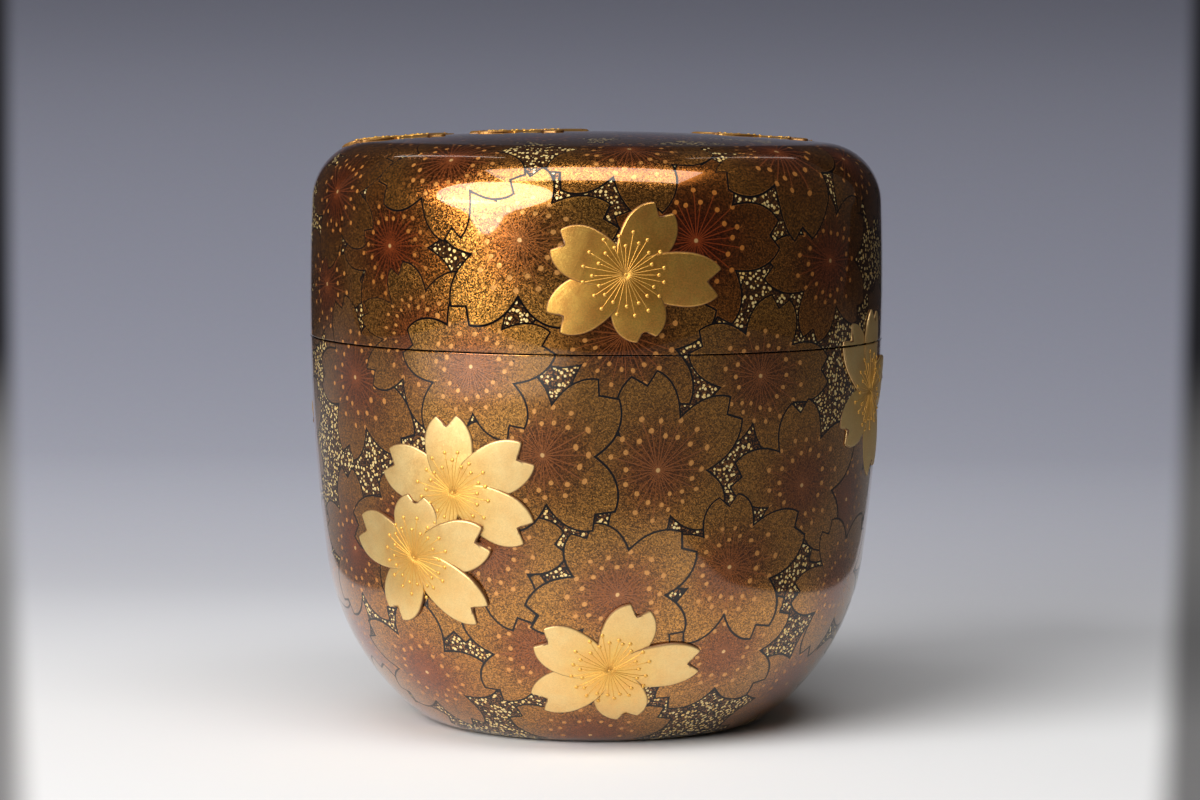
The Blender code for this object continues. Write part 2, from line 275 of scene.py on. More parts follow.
# %% Colour the sweep
PAPER_WHITE, PAPER_BLACK = (0.74, 0.75, 0.77, 1.0), (0.012, 0.012, 0.015, 1.0)
PAPER_GRADES = ((0.15, (0.56, 0.57, 0.62, 1.0)), (0.31, (0.315, 0.325, 0.39, 1.0)),
                (0.67, (0.138, 0.143, 0.182, 1.0)))
GRADE_END = 345 * MM              # rise counts height, and half the depth behind the caddy
# Painted shade: these greys darken the sheet outside the picture, so that the lacquer mirrors darkness
# there.
LEFT_SHADE_GREY, RIGHT_SHADE_GREY = (0.28, 0.28, 0.29, 1.0), (0.165, 0.165, 0.17, 1.0)
# Painted light: the sheet's front-left corner is painted brighter than the paper, a pool of light.
CORNER_PAINTED_LIGHT = (0.93, 0.93, 0.93, 1.0)
FIBRE_SCALE, FIBRE_SHARE = 900.0, 0.03

# Each edge of the painted shade is a place and the softness of the step there.
FRONT_SHADE = -95 * MM, 30 * MM
SIDE_SHADE = 67 * MM, 2.5 * MM     # the picture ends at about 70 mm, so the step just shows
SIDE_SPREAD = 0.154               # the picture widens by this much on each side with the distance
LEFT_TURN = -70 * MM, 50 * MM
LEFT_END = 430 * MM, 80 * MM
CORNER_REACH = 271 * MM, 24 * MM
CORNER_BACK = -130 * MM, 80 * MM
CORNER_END = 430 * MM, 45 * MM
RISE = 14 * MM, 13 * MM

paper, finish = new_material("graded paper")
place = place_on_piece()
axes = add("ShaderNodeSeparateXYZ", place)
x, y, z = (axes[name] for name in "XYZ")
from_caddy = vectors("LENGTH", place, output="Value")

ramp = new_node("ShaderNodeValToRGB", {0: (z + y * 0.5) / GRADE_END})
grades = ramp.color_ramp
grades.interpolation = "CARDINAL"
grades.elements[0].color, grades.elements[1].color = PAPER_WHITE, PAPER_BLACK
for position, shade in PAPER_GRADES:
    grades.elements.new(position).color = shade

# Painted shade: grey in front and beyond the picture's sides, and black where the sheet rises there.
open_paper = (1.0 - step_down(y, *FRONT_SHADE)) * step_down(abs(x) - y * SIDE_SPREAD, *SIDE_SHADE)
# Painted light in the front-left corner, which the body mirrors as its golden glow.
corner = (1.0 - step_down(from_caddy, *CORNER_REACH)) * step_down(y, *CORNER_BACK)
corner = corner * step_down(from_caddy, *CORNER_END)
left_shade = blend_colours(step_down(from_caddy, *LEFT_END), RIGHT_SHADE_GREY, LEFT_SHADE_GREY)
left_shade = blend_colours(corner, left_shade, CORNER_PAINTED_LIGHT)
painted_shade = blend_colours(step_down(x, *LEFT_TURN), RIGHT_SHADE_GREY, left_shade)
painted_shade = blend_colours(step_down(z, *RISE), PAPER_BLACK, painted_shade)
graded = blend_colours(open_paper, painted_shade, Wire(ramp.outputs[0]))
fibres = clouds(place, FIBRE_SCALE, output="Color")
feed(finish, {"Base Color": blend_colours(FIBRE_SHARE, graded, fibres, "OVERLAY"), "Roughness": 0.9,
              "Specular IOR Level": 0.1})
sheet.data.materials.append(paper)
print("paper from", PAPER_WHITE[:3], "to", PAPER_BLACK[:3])

# %% [markdown]
# ## Light
#
# Two soft lamps light it. A round one stands to the left, from the table's height upwards, and makes the
# bright window on the lid. A square one hangs above, and draws the bright band along the shoulder. Two
# narrow strips behind light the lid's corners. All four are aimed at the caddy's middle. A small lamp hangs
# low over the sheet at the front left and faces straight down: the body's left side mirrors the paper
# there, which is also painted brighter as a pool of light, and this makes its golden glow.

# %% Hang the lamps
AIM = Vector((0.0, 0.0, 35.0)) * MM
LAMP_WHITE, ROOM_GREY, ROOM_STRENGTH = (1.0, 0.985, 0.96), (0.70, 0.67, 0.64, 1.0), 0.07


def soft_box(name, shape, azimuth, elevation, distance, width, height, watts):
    """A lamp in a direction from the caddy: azimuth from the front toward +X, both in degrees."""
    around, above = math.radians(azimuth), math.radians(elevation)
    away = Vector((math.sin(around) * math.cos(above), -math.cos(around) * math.cos(above), math.sin(above)))
    lamp = begin(bpy.ops.object.light_add, name, type="AREA", location=AIM + away * distance)
    lamp.data.shape = shape
    lamp.data.size, lamp.data.size_y = width, height
    lamp.data.energy = watts
    lamp.data.color = LAMP_WHITE
    lamp.rotation_euler = away.to_track_quat("Z", "Y").to_euler()
    return lamp


soft_box("left_box", "ELLIPSE", -43.5, 25, 0.9, 0.76, 0.765, 10.9)
soft_box("top_box", "RECTANGLE", -3, 70, 0.75, 0.80, 0.36, 3.9)
soft_box("left_strip", "RECTANGLE", -146, 28, 0.9, 0.02, 1.3, 0.28)
soft_box("right_strip", "RECTANGLE", 148, 28, 0.9, 0.02, 1.3, 0.14)
corner_box = soft_box("corner_box", "ELLIPSE", -50, 15.5, 0.355, 0.14, 0.14, 0.21)
corner_box.rotation_euler = (0.0, 0.0, 0.0)     # an unturned lamp faces down

world = bpy.data.worlds.new("room")
bpy.context.scene.world = world
world.use_nodes = True
feed(world.node_tree.nodes["Background"].inputs, {"Color": ROOM_GREY, "Strength": ROOM_STRENGTH})

# %% [markdown]
# ## The outline
#
# A turned box is one line swung round an axis. This line is a chain of arcs that meet smoothly: foot,
# haunch, the long side below and above the widest ring, shoulder, and the slight dome of the top. The
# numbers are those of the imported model, apart from a slightly narrower seam, so what is made here sits
# on it without fitting.

# %% Sizes of the turned shape
CADDY_RADIUS = 33.0 * MM
SEAM_HEIGHT = 44.4 * MM
SEAM_GAP = 0.15 * MM
BODY_HEIGHT = SEAM_HEIGHT - SEAM_GAP / 2
LID_RIM = SEAM_HEIGHT + SEAM_GAP / 2
WIDEST_HEIGHT = SEAM_HEIGHT + 4.7 * MM
CROWN_HEIGHT = SEAM_HEIGHT + 23.4 * MM
HAUNCH_ROUND = 27.5 * MM
SHOULDER_ROUND = 7.0 * MM
LOWER_SIDE = (CADDY_RADIUS - 228.5 * MM, WIDEST_HEIGHT, 228.5 * MM)
UPPER_SIDE = (CADDY_RADIUS - 267.0 * MM, WIDEST_HEIGHT, 267.0 * MM)
FOOT = (17.7 * MM, 5.0 * MM, 5.0 * MM)
CROWN = (0.0, CROWN_HEIGHT - 304.0 * MM, 304.0 * MM)
SEAM_EDGE_ROUND = 0.04 * MM
SEAM_EDGE_GUARD = 0.12 * MM       # a ring here keeps the rounding's shading off the wall


def nested_circle(outer, inner, radius):
    """Centre of the circle that touches a big circle from inside and a small one from outside it."""
    span = math.dist(outer[:2], inner[:2])
    to_outer, to_inner = outer[2] - radius, abs(radius - inner[2])
    along = (to_outer**2 - to_inner**2 + span**2) / (2 * span)
    across = math.sqrt(to_outer**2 - along**2)
    step_r, step_z = (inner[0] - outer[0]) / span, (inner[1] - outer[1]) / span
    return outer[0] + along * step_r - across * step_z, outer[1] + along * step_z + across * step_r


def bearing(start, end):
    return math.atan2(end[1] - start[1], end[0] - start[0])


haunch = nested_circle(LOWER_SIDE, FOOT, HAUNCH_ROUND)
shoulder = nested_circle(UPPER_SIDE, CROWN, SHOULDER_ROUND)
turns = [-math.pi / 2, bearing(haunch, FOOT), bearing(LOWER_SIDE, haunch), 0.0,
         bearing(UPPER_SIDE, shoulder), bearing(CROWN, shoulder), math.pi / 2]
circles = [FOOT, (*haunch, HAUNCH_ROUND), LOWER_SIDE, UPPER_SIDE, (*shoulder, SHOULDER_ROUND), CROWN]
ARC_R, ARC_Z, ARC_RADIUS = np.array(circles).T
ARC_FROM, ARC_TO = np.array(turns[:-1]), np.array(turns[1:])
ARC_RUN = np.concatenate([[0.0], np.cumsum(ARC_RADIUS * (ARC_TO - ARC_FROM))])
print("outline from the table to the middle of the lid:", round(ARC_RUN[-1] / MM, 2), "mm")

# %% [markdown]
# Two questions come up again and again: where is the point that lies so far along the line, and which
# point of the line is nearest to a given place. Both are worked out from the arcs themselves, so the
# answers are exact, and both take whole lists of numbers at once.

# %% Ask the outline
NOTHING = 1e-9                    # keeps sums from dividing by zero
RUN_SAMPLES = 20001


def outline_at(run):
    """Radius, height and outward direction (two numbers) at a distance along the outline from its foot."""
    run = np.asarray(run, float)
    arc = np.clip(np.searchsorted(ARC_RUN, run, side="right") - 1, 0, len(ARC_R) - 1)
    turn = ARC_FROM[arc] + (run - ARC_RUN[arc]) / ARC_RADIUS[arc]
    out_r, out_z = np.cos(turn), np.sin(turn)
    return ARC_R[arc] + ARC_RADIUS[arc] * out_r, ARC_Z[arc] + ARC_RADIUS[arc] * out_z, out_r, out_z


def nearest_on_outline(places):
    """For points in space: the distance along the outline, the gap to it (minus inside) and the normal."""
    r, z = np.hypot(places[:, 0], places[:, 1]), places[:, 2]
    turn = np.clip(np.arctan2(z[:, None] - ARC_Z, r[:, None] - ARC_R), ARC_FROM, ARC_TO)
    miss_r = r[:, None] - ARC_R - ARC_RADIUS * np.cos(turn)
    miss_z = z[:, None] - ARC_Z - ARC_RADIUS * np.sin(turn)
    arc = np.argmin(miss_r**2 + miss_z**2, axis=1)
    pick = np.arange(len(r)), arc
    turn = turn[pick]
    gap = miss_r[pick] * np.cos(turn) + miss_z[pick] * np.sin(turn)
    run = ARC_RUN[arc] + ARC_RADIUS[arc] * (turn - ARC_FROM[arc])
    around = np.where(r > NOTHING, np.arctan2(places[:, 0], -places[:, 1]), 0.0)
    normal = np.stack([np.cos(turn) * np.sin(around), -np.cos(turn) * np.cos(around), np.sin(turn)], axis=1)
    return run, gap, normal


def run_at_height(height):
    """How far along the outline its side stands at this height."""
    runs = np.linspace(0.0, ARC_RUN[-1], RUN_SAMPLES)
    return float(np.interp(height, outline_at(runs)[1], runs))


SEAM_RUN = run_at_height(SEAM_HEIGHT)
print("seam at", round(SEAM_RUN / MM, 2), "mm along the outline")

# %% [markdown]
# ## Turning the cup and the lid
#
# A turner cuts the profile once and the lathe does the rest. Here the half section is drawn as a line:
# one point, extruded from place to place, and then spun round the axis. Spin leaves the first and the
# last line on top of each other and a heap of points on the axis. Merging doubles closes both, and then
# the normals are made to point out of the wood.
#
# The rings are half a millimetre apart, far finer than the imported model, because polished lacquer shows
# every facet in its reflections.

# %% The lathe
RING = 0.55 * MM                  # the usual distance between rings
TURN_STEPS, CORNER_STEPS = 360, 3
WELD = 0.0005 * MM
SHARP = math.radians(35)          # edges sharper than this stay sharp


def bow(r, z, radius, start, end, step=RING):
    """Points along an arc, its first and last points included."""
    count = max(CORNER_STEPS, math.ceil(abs(end - start) * radius / step))
    return [(r + radius * math.cos(start + (end - start) * i / count),
             z + radius * math.sin(start + (end - start) * i / count)) for i in range(count + 1)]


def outline_points(start, end):
    count = math.ceil(abs(end - start) / RING)
    r, z, _, _ = outline_at(np.linspace(start, end, count + 1))
    return [(max(x, 0.0), y) for x, y in zip(r.tolist(), z.tolist())]


def turn_on_lathe(name, section):
    piece = begin(bpy.ops.mesh.primitive_plane_add, name, size=MM)
    with editing():
        bpy.ops.mesh.merge(type="CENTER")
        bpy.ops.transform.translate(value=(section[0][0], 0.0, section[0][1]))
        for (r0, z0), (r1, z1) in zip(section, section[1:]):
            bpy.ops.mesh.extrude_region_move(TRANSFORM_OT_translate={"value": (r1 - r0, 0.0, z1 - z0)})
        bpy.ops.mesh.select_all(action="SELECT")
        bpy.ops.mesh.spin(steps=TURN_STEPS, angle=math.tau, center=(0, 0, 0), axis=(0, 0, 1))
        bpy.ops.mesh.select_all(action="SELECT")
        bpy.ops.mesh.remove_doubles(threshold=WELD)
        bpy.ops.mesh.normals_make_consistent(inside=False)
    bpy.ops.object.shade_smooth_by_angle(angle=SHARP)
    print(name, len(piece.data.polygons), "faces")
    return piece


# %% Turn the cup
LID_BORE = CADDY_RADIUS - 2.0 * MM
COLLAR_RADIUS = LID_BORE - 0.2 * MM
CUP_RADIUS = COLLAR_RADIUS - 1.5 * MM
COLLAR_TOP = BODY_HEIGHT + 10.0 * MM
COLLAR_EDGE = 0.45 * MM
FLOOR = 3.5 * MM
BOWL_ROUND = 16.0 * MM
RING_INNER = FOOT[0] - 2.1 * MM
RECESS = 0.8 * MM

inner_side = LOWER_SIDE[2] - (CADDY_RADIUS - CUP_RADIUS)
bowl_z = FLOOR + BOWL_ROUND
bowl_r = LOWER_SIDE[0] + math.sqrt((inner_side - BOWL_ROUND) ** 2 - (bowl_z - WIDEST_HEIGHT) ** 2)
bowl_end = bearing(LOWER_SIDE, (bowl_r, bowl_z))
cup_guard = run_at_height(BODY_HEIGHT - SEAM_EDGE_GUARD)
cup_rim = outline_points(run_at_height(BODY_HEIGHT - SEAM_EDGE_ROUND), cup_guard)
cup_rim += outline_points(cup_guard, 0.0)[1:]
collar_z = COLLAR_TOP - COLLAR_EDGE

# Inside, where the lacquer is plain, the rings are wider apart.
cup = [(0.0, FLOOR)]
cup += bow(bowl_r, bowl_z, BOWL_ROUND, -math.pi / 2, bowl_end, 2 * RING)
cup += bow(*LOWER_SIDE[:2], inner_side, bowl_end, 0.0, 4 * RING)[1:]
cup += bow(CUP_RADIUS + COLLAR_EDGE, collar_z, COLLAR_EDGE, math.pi, math.pi / 2)
cup += bow(COLLAR_RADIUS - COLLAR_EDGE, collar_z, COLLAR_EDGE, math.pi / 2, 0.0)
cup += [(COLLAR_RADIUS, BODY_HEIGHT)]
cup += bow(cup_rim[0][0] - SEAM_EDGE_ROUND, cup_rim[0][1], SEAM_EDGE_ROUND, math.pi / 2, 0.0)[:-1]
cup += cup_rim
cup += [(RING_INNER, 0.0), (RING_INNER - RECESS, RECESS), (0.0, RECESS)]
caddy_cup = turn_on_lathe("lacquered_cup", cup)

# %% Turn the lid
CEILING = CROWN_HEIGHT - 3.0 * MM
INNER_ROUND = 5.0 * MM
BORE_CHAMFER = 0.4 * MM

lid_guard = run_at_height(LID_RIM + SEAM_EDGE_GUARD)
cap = outline_points(ARC_RUN[-1], lid_guard)
cap += outline_points(lid_guard, run_at_height(LID_RIM + SEAM_EDGE_ROUND))[1:]
cap += bow(cap[-1][0] - SEAM_EDGE_ROUND, cap[-1][1], SEAM_EDGE_ROUND, 0.0, -math.pi / 2)[1:]
cap += [(LID_BORE + BORE_CHAMFER, LID_RIM), (LID_BORE, LID_RIM + BORE_CHAMFER)]
cap += bow(LID_BORE - INNER_ROUND, CEILING - INNER_ROUND, INNER_ROUND, 0.0, math.pi / 2, 2 * RING)
cap += [(0.0, CEILING)]
caddy_cap = turn_on_lathe("lacquered_lid", cap)

# %% [markdown]
# ## Where the blossoms lie
#
# The ground is strewn with nearly ninety painted blossoms, each lying over the ones after it in the list.
# Those that face the camera are placed one by one: the angle round the caddy, the distance up from the seam
# along the wall in mm, how red the gold is, the directions of its five petals in degrees, and their
# lengths in mm. The rest are scattered by rule. Of many chances thrown, the next blossom takes the one
# farthest from all the others, until the wall is full, which keeps them evenly loose without a grid.

# %% The painted blossoms that show in front
FRONT_BLOSSOMS = (
    (-31.5, 21.4, 0.55, (58, 130, 200, 285, 348), (8.8, 8.8, 9.4, 9.1, 9.4)),
    (-14.5, 12.3, 0.05, (15, 83, 163, 230, 308), (10.6, 7.9, 9.4, 10.7, 10.4)),
    (-62.3, 16.8, 0.7, (34, 104, 178, 250, 329), (9.4, 8.6, 8.6, 8.6, 8.6)),
    (-24.2, -1.5, 0.05, (17, 80, 165, 239, 305), (9.6, 9.6, 8.7, 9.2, 8.6)),
    (-10, -10.9, 0.15, (47, 112, 172, 236, 311), (10.1, 9.4, 9.2, 9.2, 9.6)),
    (-36.2, 1.8, 0.4, (38, 113, 166, 214, 282), (9.4, 7.6, 8.8, 8.8, 10.2)),
    (-43.3, 11.2, 0.85, (32, 103, 178, 252, 328), (9.4, 9, 8.4, 8.8, 9.8)),
    (-54.2, -3.6, 0.5, (40, 110, 182, 256, 320), (9, 9, 9, 9, 11.2)),
    (4.7, -26.2, 0.15, (35, 119, 198, 258, 320), (9.7, 8, 10.2, 9, 8.6)),
    (28.1, -23.5, 0.2, (23, 94, 174, 236, 302), (10.8, 7.6, 9.2, 9.6, 9.4)),
    (12.1, -12.5, 0.15, (37, 98, 178, 254, 320), (11.1, 10.5, 9.4, 9.8, 8.4)),
    (-21.3, -21.4, 0.2, (5, 80, 152, 224, 290), (8.4, 9, 9, 9, 9.3)),
    (63, -26.7, 0.25, (40, 125, 184, 256, 328), (9, 7.7, 9.2, 9.2, 9)),
    (45.1, -15, 0.2, (27, 96, 171, 238, 312), (10.9, 9.2, 9.9, 8.8, 9)),
    (33, -2.5, 0.2, (1, 72, 155, 230, 293), (10.4, 8.6, 9, 8.7, 9.5)),
    (5.3, 2.3, 0.35, (22, 96, 188, 244, 305), (10.3, 9.5, 10, 9.6, 10.3)),
    (43.6, 23.3, 0.6, (20, 95, 165, 192, 268), (9, 9, 9, 10.7, 10.9)),
    (7.3, 24.3, 0.45, (8, 80, 150, 202, 285), (9, 8.8, 8.8, 9.9, 9.2)),
    (19, 12.3, 1, (3, 80, 156, 222, 287), (10.3, 9.8, 9, 9, 9.7)),
    (51.5, 9.7, 0.7, (40, 112, 182, 248, 318), (9, 9, 10.3, 9, 9)),
    (29.7, -33.6, 0.2, (30, 100, 170, 232, 318), (9, 9, 9, 9, 9)),
    (-12.3, -33.1, 0.25, (6, 78, 150, 230, 296), (9, 9, 9.2, 8.8, 9)),
    (-43.6, -37.4, 0.45, (80, 156, 216, 288, 355), (9.2, 9.4, 8.8, 8.6, 9.2)),
    (-41.2, -19, 0.5, (25, 105, 190, 256, 328), (9, 5, 9.6, 10.2, 9)),
    (-58.9, -23.1, 0.55, (20, 92, 164, 236, 308), (9, 9, 9, 9, 9)),
    (62, -17.4, 0.3, (0, 72, 144, 216, 288), (9, 9, 9, 9, 9)),
    (58.7, -39.9, 0.45, (20, 92, 164, 236, 308), (9, 9, 9, 9, 9)),
    (-1, -46.5, 0.25, (18, 90, 162, 234, 306), (9, 9, 9, 9, 9)),
    (-30.2, -23, 0.2, (50, 122, 194, 266, 338), (9, 9, 9, 9.4, 9)),
    (-66, 6.4, 0.5, (6, 80, 150, 222, 294), (9, 8.6, 9, 9, 9.2)),
    (66, 21.5, 0.5, (12, 84, 156, 228, 300), (9.2, 8.8, 9, 9.2, 9)),
)


def wall_frame(around, run):
    """Centre, right, up and outward directions of a place on the wall, one row each."""
    r, z, out_r, out_z = outline_at(run)
    right = np.stack([np.cos(around), np.sin(around), np.zeros_like(around)], axis=-1)
    away = np.stack([np.sin(around), -np.cos(around), np.zeros_like(around)], axis=-1)
    rise = np.array([0.0, 0.0, 1.0])
    centre = away * np.expand_dims(r, -1) + rise * np.expand_dims(z, -1)
    out = away * np.expand_dims(out_r, -1) + rise * np.expand_dims(out_z, -1)
    return centre, right, np.cross(out, right), out


blossoms = []
for azimuth, along, red, directions, lengths in FRONT_BLOSSOMS:
    seat = wall_frame(np.radians(azimuth), SEAM_RUN + along * MM)
    petals = [(direction, length * MM) for direction, length in zip(directions, lengths)]
    blossoms.append({"seat": seat, "petals": petals, "red": red})
print(len(blossoms), "blossoms placed by hand")

# %% Scatter the others
FIFTH = 72                        # degrees from one petal to the next
PETAL_LENGTHS = (8.2, 9.6)        # shortest and longest usual petal, in mm
PETAL_SWAY = 7                    # in degrees
REDNESS = (0.2, 0.9)
CHANCES = 600
CLOSEST = 10.6 * MM               # the scatter stops when no chance is farther than this from the others
FRONT_REACH = math.radians(70)
TOP_EDGE_RUN = ARC_RUN[5] - 3 * MM

scatter = random.Random(11)
centres = np.array([blossom["seat"][0] for blossom in blossoms])
while True:
    around = np.array([scatter.uniform(-math.pi, math.pi) for _ in range(CHANCES)])
    run = np.array([scatter.uniform(1 * MM, ARC_RUN[-1]) for _ in range(CHANCES)])
    weight = np.array([scatter.random() for _ in range(CHANCES)])
    free = (abs(around) > FRONT_REACH) | (run > TOP_EDGE_RUN)
    kept = free & (weight * CADDY_RADIUS < outline_at(run)[0])
    seats = wall_frame(around[kept], run[kept])
    nearest = np.linalg.norm(seats[0][:, None] - centres, axis=2).min(axis=1)
    best = int(nearest.argmax())
    if nearest[best] < CLOSEST:
        break
    first = scatter.uniform(0, FIFTH)
    directions = [(first + FIFTH * i + scatter.uniform(-PETAL_SWAY, PETAL_SWAY)) % 360 for i in range(5)]
    petals = [(direction, scatter.uniform(*PETAL_LENGTHS) * MM) for direction in directions]
    seat = tuple(part[best] for part in seats)
    blossoms.append({"seat": seat, "petals": petals, "red": scatter.uniform(*REDNESS)})
    centres = np.vstack([centres, seats[0][best]])
print(len(blossoms), "painted blossoms in all")

# %% [markdown]
# ## Painting on a curved wall
#
# A painter draws every petal's edge with a fine brush. A shader can draw it as exactly, if each point of
# the wall knows where it lies in its own blossom. So every face is told, in UV maps, its place in the
# blossoms that reach it: up to four, the topmost first. The places are worked out here, once. The node
# group in the next step turns them into petals, threads and anthers.
#
# A blossom is laid on the wall as a paper one would be: the distance from its centre is measured along
# the wall, and the direction as seen from straight out. Its five petals differ in length and direction.
# Turning and stretching each place to a regular blossom with petals one unit long lets one drawing serve
# them all.

# %% Where a point lies in a blossom
BELLY = 0.62                      # where a petal is widest
HALF_WIDTH = 0.335
CLEFT = 0.87                      # depth of the cleft in the tip, from the centre
LOBE = 0.14                       # the two points beside the cleft, from the petal's middle line
LINE = 0.027                      # width of the dark outline
FAR_HALF = (1 - BELLY) / math.sqrt(1 - (LOBE / HALF_WIDTH) ** 2)
CLEFT_SLOPE = (1 - CLEFT) / LOBE


def place_in_blossom(blossom, places, normals):
    centre, right, up, out = blossom["seat"]
    chord = places - centre
    x, y = chord @ right, chord @ up
    bend = np.arccos(np.clip(normals @ out, -1, 1)) / 2
    stretch = np.where(bend > NOTHING, bend / np.sin(np.maximum(bend, NOTHING)), 1.0)
    reach = np.linalg.norm(chord, axis=1) * stretch
    direction = np.degrees(np.arctan2(y, x)) % 360
    turned, lengths = zip(*sorted(blossom["petals"]))
    knots = [turned[-1] - 360, *turned, turned[0] + 360]
    regular = np.radians(np.interp(direction, knots, [FIFTH * (i - 1) for i in range(7)]))
    length = np.interp(direction, knots, [lengths[-1], *lengths, lengths[0]])
    return np.stack([np.cos(regular), np.sin(regular)], axis=1) * (reach / length)[:, None]


def petal_edge(places):
    """Distance past the nearest petal's edge, minus inside, for places in a regular blossom."""
    reach = np.hypot(places[:, 0], places[:, 1])
    turn = np.arctan2(places[:, 1], places[:, 0])
    off = turn - np.round(turn / math.radians(FIFTH)) * math.radians(FIFTH)
    x, y = reach * np.cos(off), abs(reach * np.sin(off))
    half = np.where(x < BELLY, BELLY, FAR_HALF)
    u, v = (x - BELLY) / half, y / HALF_WIDTH
    slope = 2 * np.sqrt((u / half) ** 2 + (v / HALF_WIDTH) ** 2) + NOTHING
    cleft = (x - CLEFT - CLEFT_SLOPE * y) / math.sqrt(1 + CLEFT_SLOPE**2)
    return np.maximum((u**2 + v**2 - 1) / slope, cleft)


print("a petal is", round(2 * HALF_WIDTH, 2), "wide for its length of 1")

# %% Write the maps
LAYERS = 4
OUTSIDE = 9.0                     # a place far from any petal
NEAR = 14 * MM
SLACK = 0.05                      # half a face, in petal lengths
ON_WALL = 0.02 * MM


def vertex_places(mesh):
    places = np.empty(len(mesh.vertices) * 3)
    mesh.vertices.foreach_get("co", places)
    return places.reshape(-1, 3)


def corner_vertices(mesh):
    corner = np.empty(len(mesh.loops), int)
    mesh.loops.foreach_get("vertex_index", corner)
    return corner


def write_blossom_maps(piece):
    """Stores each outer face's places in the blossoms that reach it, and how red each of those is."""
    mesh = piece.data
    places, corner = vertex_places(mesh), corner_vertices(mesh)
    run, gap, normals = nearest_on_outline(places)
    start = np.empty(len(mesh.polygons), int)
    mesh.polygons.foreach_get("loop_start", start)
    face_of = np.repeat(np.arange(len(start)), np.diff([*start, len(corner)]))
    outer = np.maximum.reduceat(abs(gap)[corner], start) < ON_WALL
    filled = np.zeros(len(start), int)
    hidden = ~outer
    maps = np.full((LAYERS, len(corner), 2), OUTSIDE)
    red = np.zeros((len(corner), LAYERS))
    for blossom in blossoms:
        near = np.linalg.norm(places - blossom["seat"][0], axis=1) < NEAR
        if not near.any():
            continue
        spot = np.full((len(places), 2), OUTSIDE)
        spot[near] = place_in_blossom(blossom, places[near], normals[near])
        edge = np.full(len(places), OUTSIDE)
        edge[near] = petal_edge(spot[near])
        closest, farthest = (pick.reduceat(edge[corner], start) for pick in (np.minimum, np.maximum))
        reached = (closest < LINE + SLACK) & ~hidden & (filled < LAYERS)
        for layer in range(LAYERS):
            chosen = (reached & (filled == layer))[face_of]
            maps[layer, chosen] = spot[corner[chosen]]
            red[chosen, layer] = blossom["red"]
        filled[reached] += 1
        hidden |= farthest < -SLACK
    for layer in range(LAYERS):
        mesh.uv_layers.new(name=f"blossom_{layer + 1}").uv.foreach_set("vector", maps[layer].ravel())
    mesh.color_attributes.new("blossom_red", "FLOAT_COLOR", "CORNER").data.foreach_set("color", red.ravel())
    print(piece.name, "outer faces by blossoms that reach them:", np.bincount(filled[outer]).tolist())
    return outer, face_of, corner, places, run


cup_faces = write_blossom_maps(caddy_cup)
lid_faces = write_blossom_maps(caddy_cap)

# %% [markdown]
# A map of its own lays the finish out for storing as pictures for other programs. The outer wall is
# cut into four quarters, which fill nearly all of the square. The inside and the foot, one plain colour,
# share the narrow strip that is left.

# %% Lay out the storage map
TILE_TOP = 0.90                   # height of the square that the four quarters take
STRIP_FROM = 0.915
TILE_EDGE = 0.004
STRIP_CENTRE = 0.8 * CADDY_RADIUS     # the inside is unrolled round a ring of this radius
STRIP_REACH = 0.1                 # no face of the strip is longer than this


def within_tile(share):
    return TILE_EDGE + share * (1 - 2 * TILE_EDGE)


def write_storage_map(piece, faces):
    outer, face_of, corner, places, run = faces
    x, y, z = places[corner].T
    r, around, run, wall = np.hypot(x, y), np.arctan2(x, -y) % math.tau, run[corner], outer[face_of]
    on_axis = r < WELD
    cosine, sine = (np.bincount(face_of, wave(around) * ~on_axis) for wave in (np.cos, np.sin))
    middle = (np.arctan2(sine, cosine) % math.tau)[face_of]
    around = middle + (around - middle + math.pi) % math.tau - math.pi
    around = np.where(on_axis, middle, around)
    quarter = np.clip((middle // (math.pi / 2)).astype(int), 0, 3)
    low, high = run[wall].min(), run[wall].max()
    u = (quarter % 2 + within_tile(around / (math.pi / 2) - quarter)) / 2
    v = (quarter // 2 + within_tile((run - low) / (high - low))) / 2 * TILE_TOP
    inside = np.arctan2(z - z.mean(), STRIP_CENTRE - r) / math.tau + 0.5
    depth = (np.bincount(face_of, inside) / np.bincount(face_of))[face_of]
    inside = np.clip(np.clip(inside, depth - STRIP_REACH, depth + STRIP_REACH), 0, 1)
    u = np.where(wall, u, around / math.tau)
    v = np.where(wall, v, STRIP_FROM + (1 - STRIP_FROM - TILE_EDGE) * inside)
    layer = piece.data.uv_layers.new(name="OFBake")
    layer.uv.foreach_set("vector", np.stack([u, v], axis=1).ravel())
    print(piece.name, "map from", round(float(u.min()), 3), "to", round(float(u.max()), 3))


write_storage_map(caddy_cup, cup_faces)
write_storage_map(caddy_cap, lid_faces)

# %% [markdown]
# ## Gold powder, flakes and blossoms as node groups
#
# Gold powder is sifted on to wet lacquer, thin at a petal's heart and thick toward its rim. Seen close,
# each grain is its own small mirror. A fine cell pattern gives every grain its own brightness and its own
# lean, which is what makes the gold sparkle at the edges of a highlight.
#
# The gaps between the blossoms are near-black lacquer with coarser gold flakes pressed in one by one.
# These are the round middles of larger cells, with some cells left out.

# %% Powder and flakes
SMALLEST, LARGEST = 0.7, 1.25     # flakes, as shares of the usual size


def cells_per_mm(place, number):
    """A cell pattern: the distance from each cell's middle, and the cell's own colour, split in three."""
    cells = add("ShaderNodeTexVoronoi", place, None, number * (1 / MM), feature="F1")
    return cells["Distance"], cells["Color"], add("ShaderNodeSeparateColor", cells["Color"])


powder, given, result = new_group(
    "gold powder",
    [("Place", "Vector"), ("Grains per mm", "Float", 8.0), ("Tilt", "Float", 0.2)],
    [("Grain", "Float"), ("Normal", "Vector")])
_, colour, shade = cells_per_mm(given["Place"], given["Grains per mm"])
lean = vectors("SCALE", vectors("SUBTRACT", colour, (0.5, 0.5, 0.5)), None, None, given["Tilt"])
leaning = vectors("ADD", add("ShaderNodeNewGeometry")["Normal"], lean)
feed(result, {"Grain": shade["Red"], "Normal": vectors("NORMALIZE", leaning)})

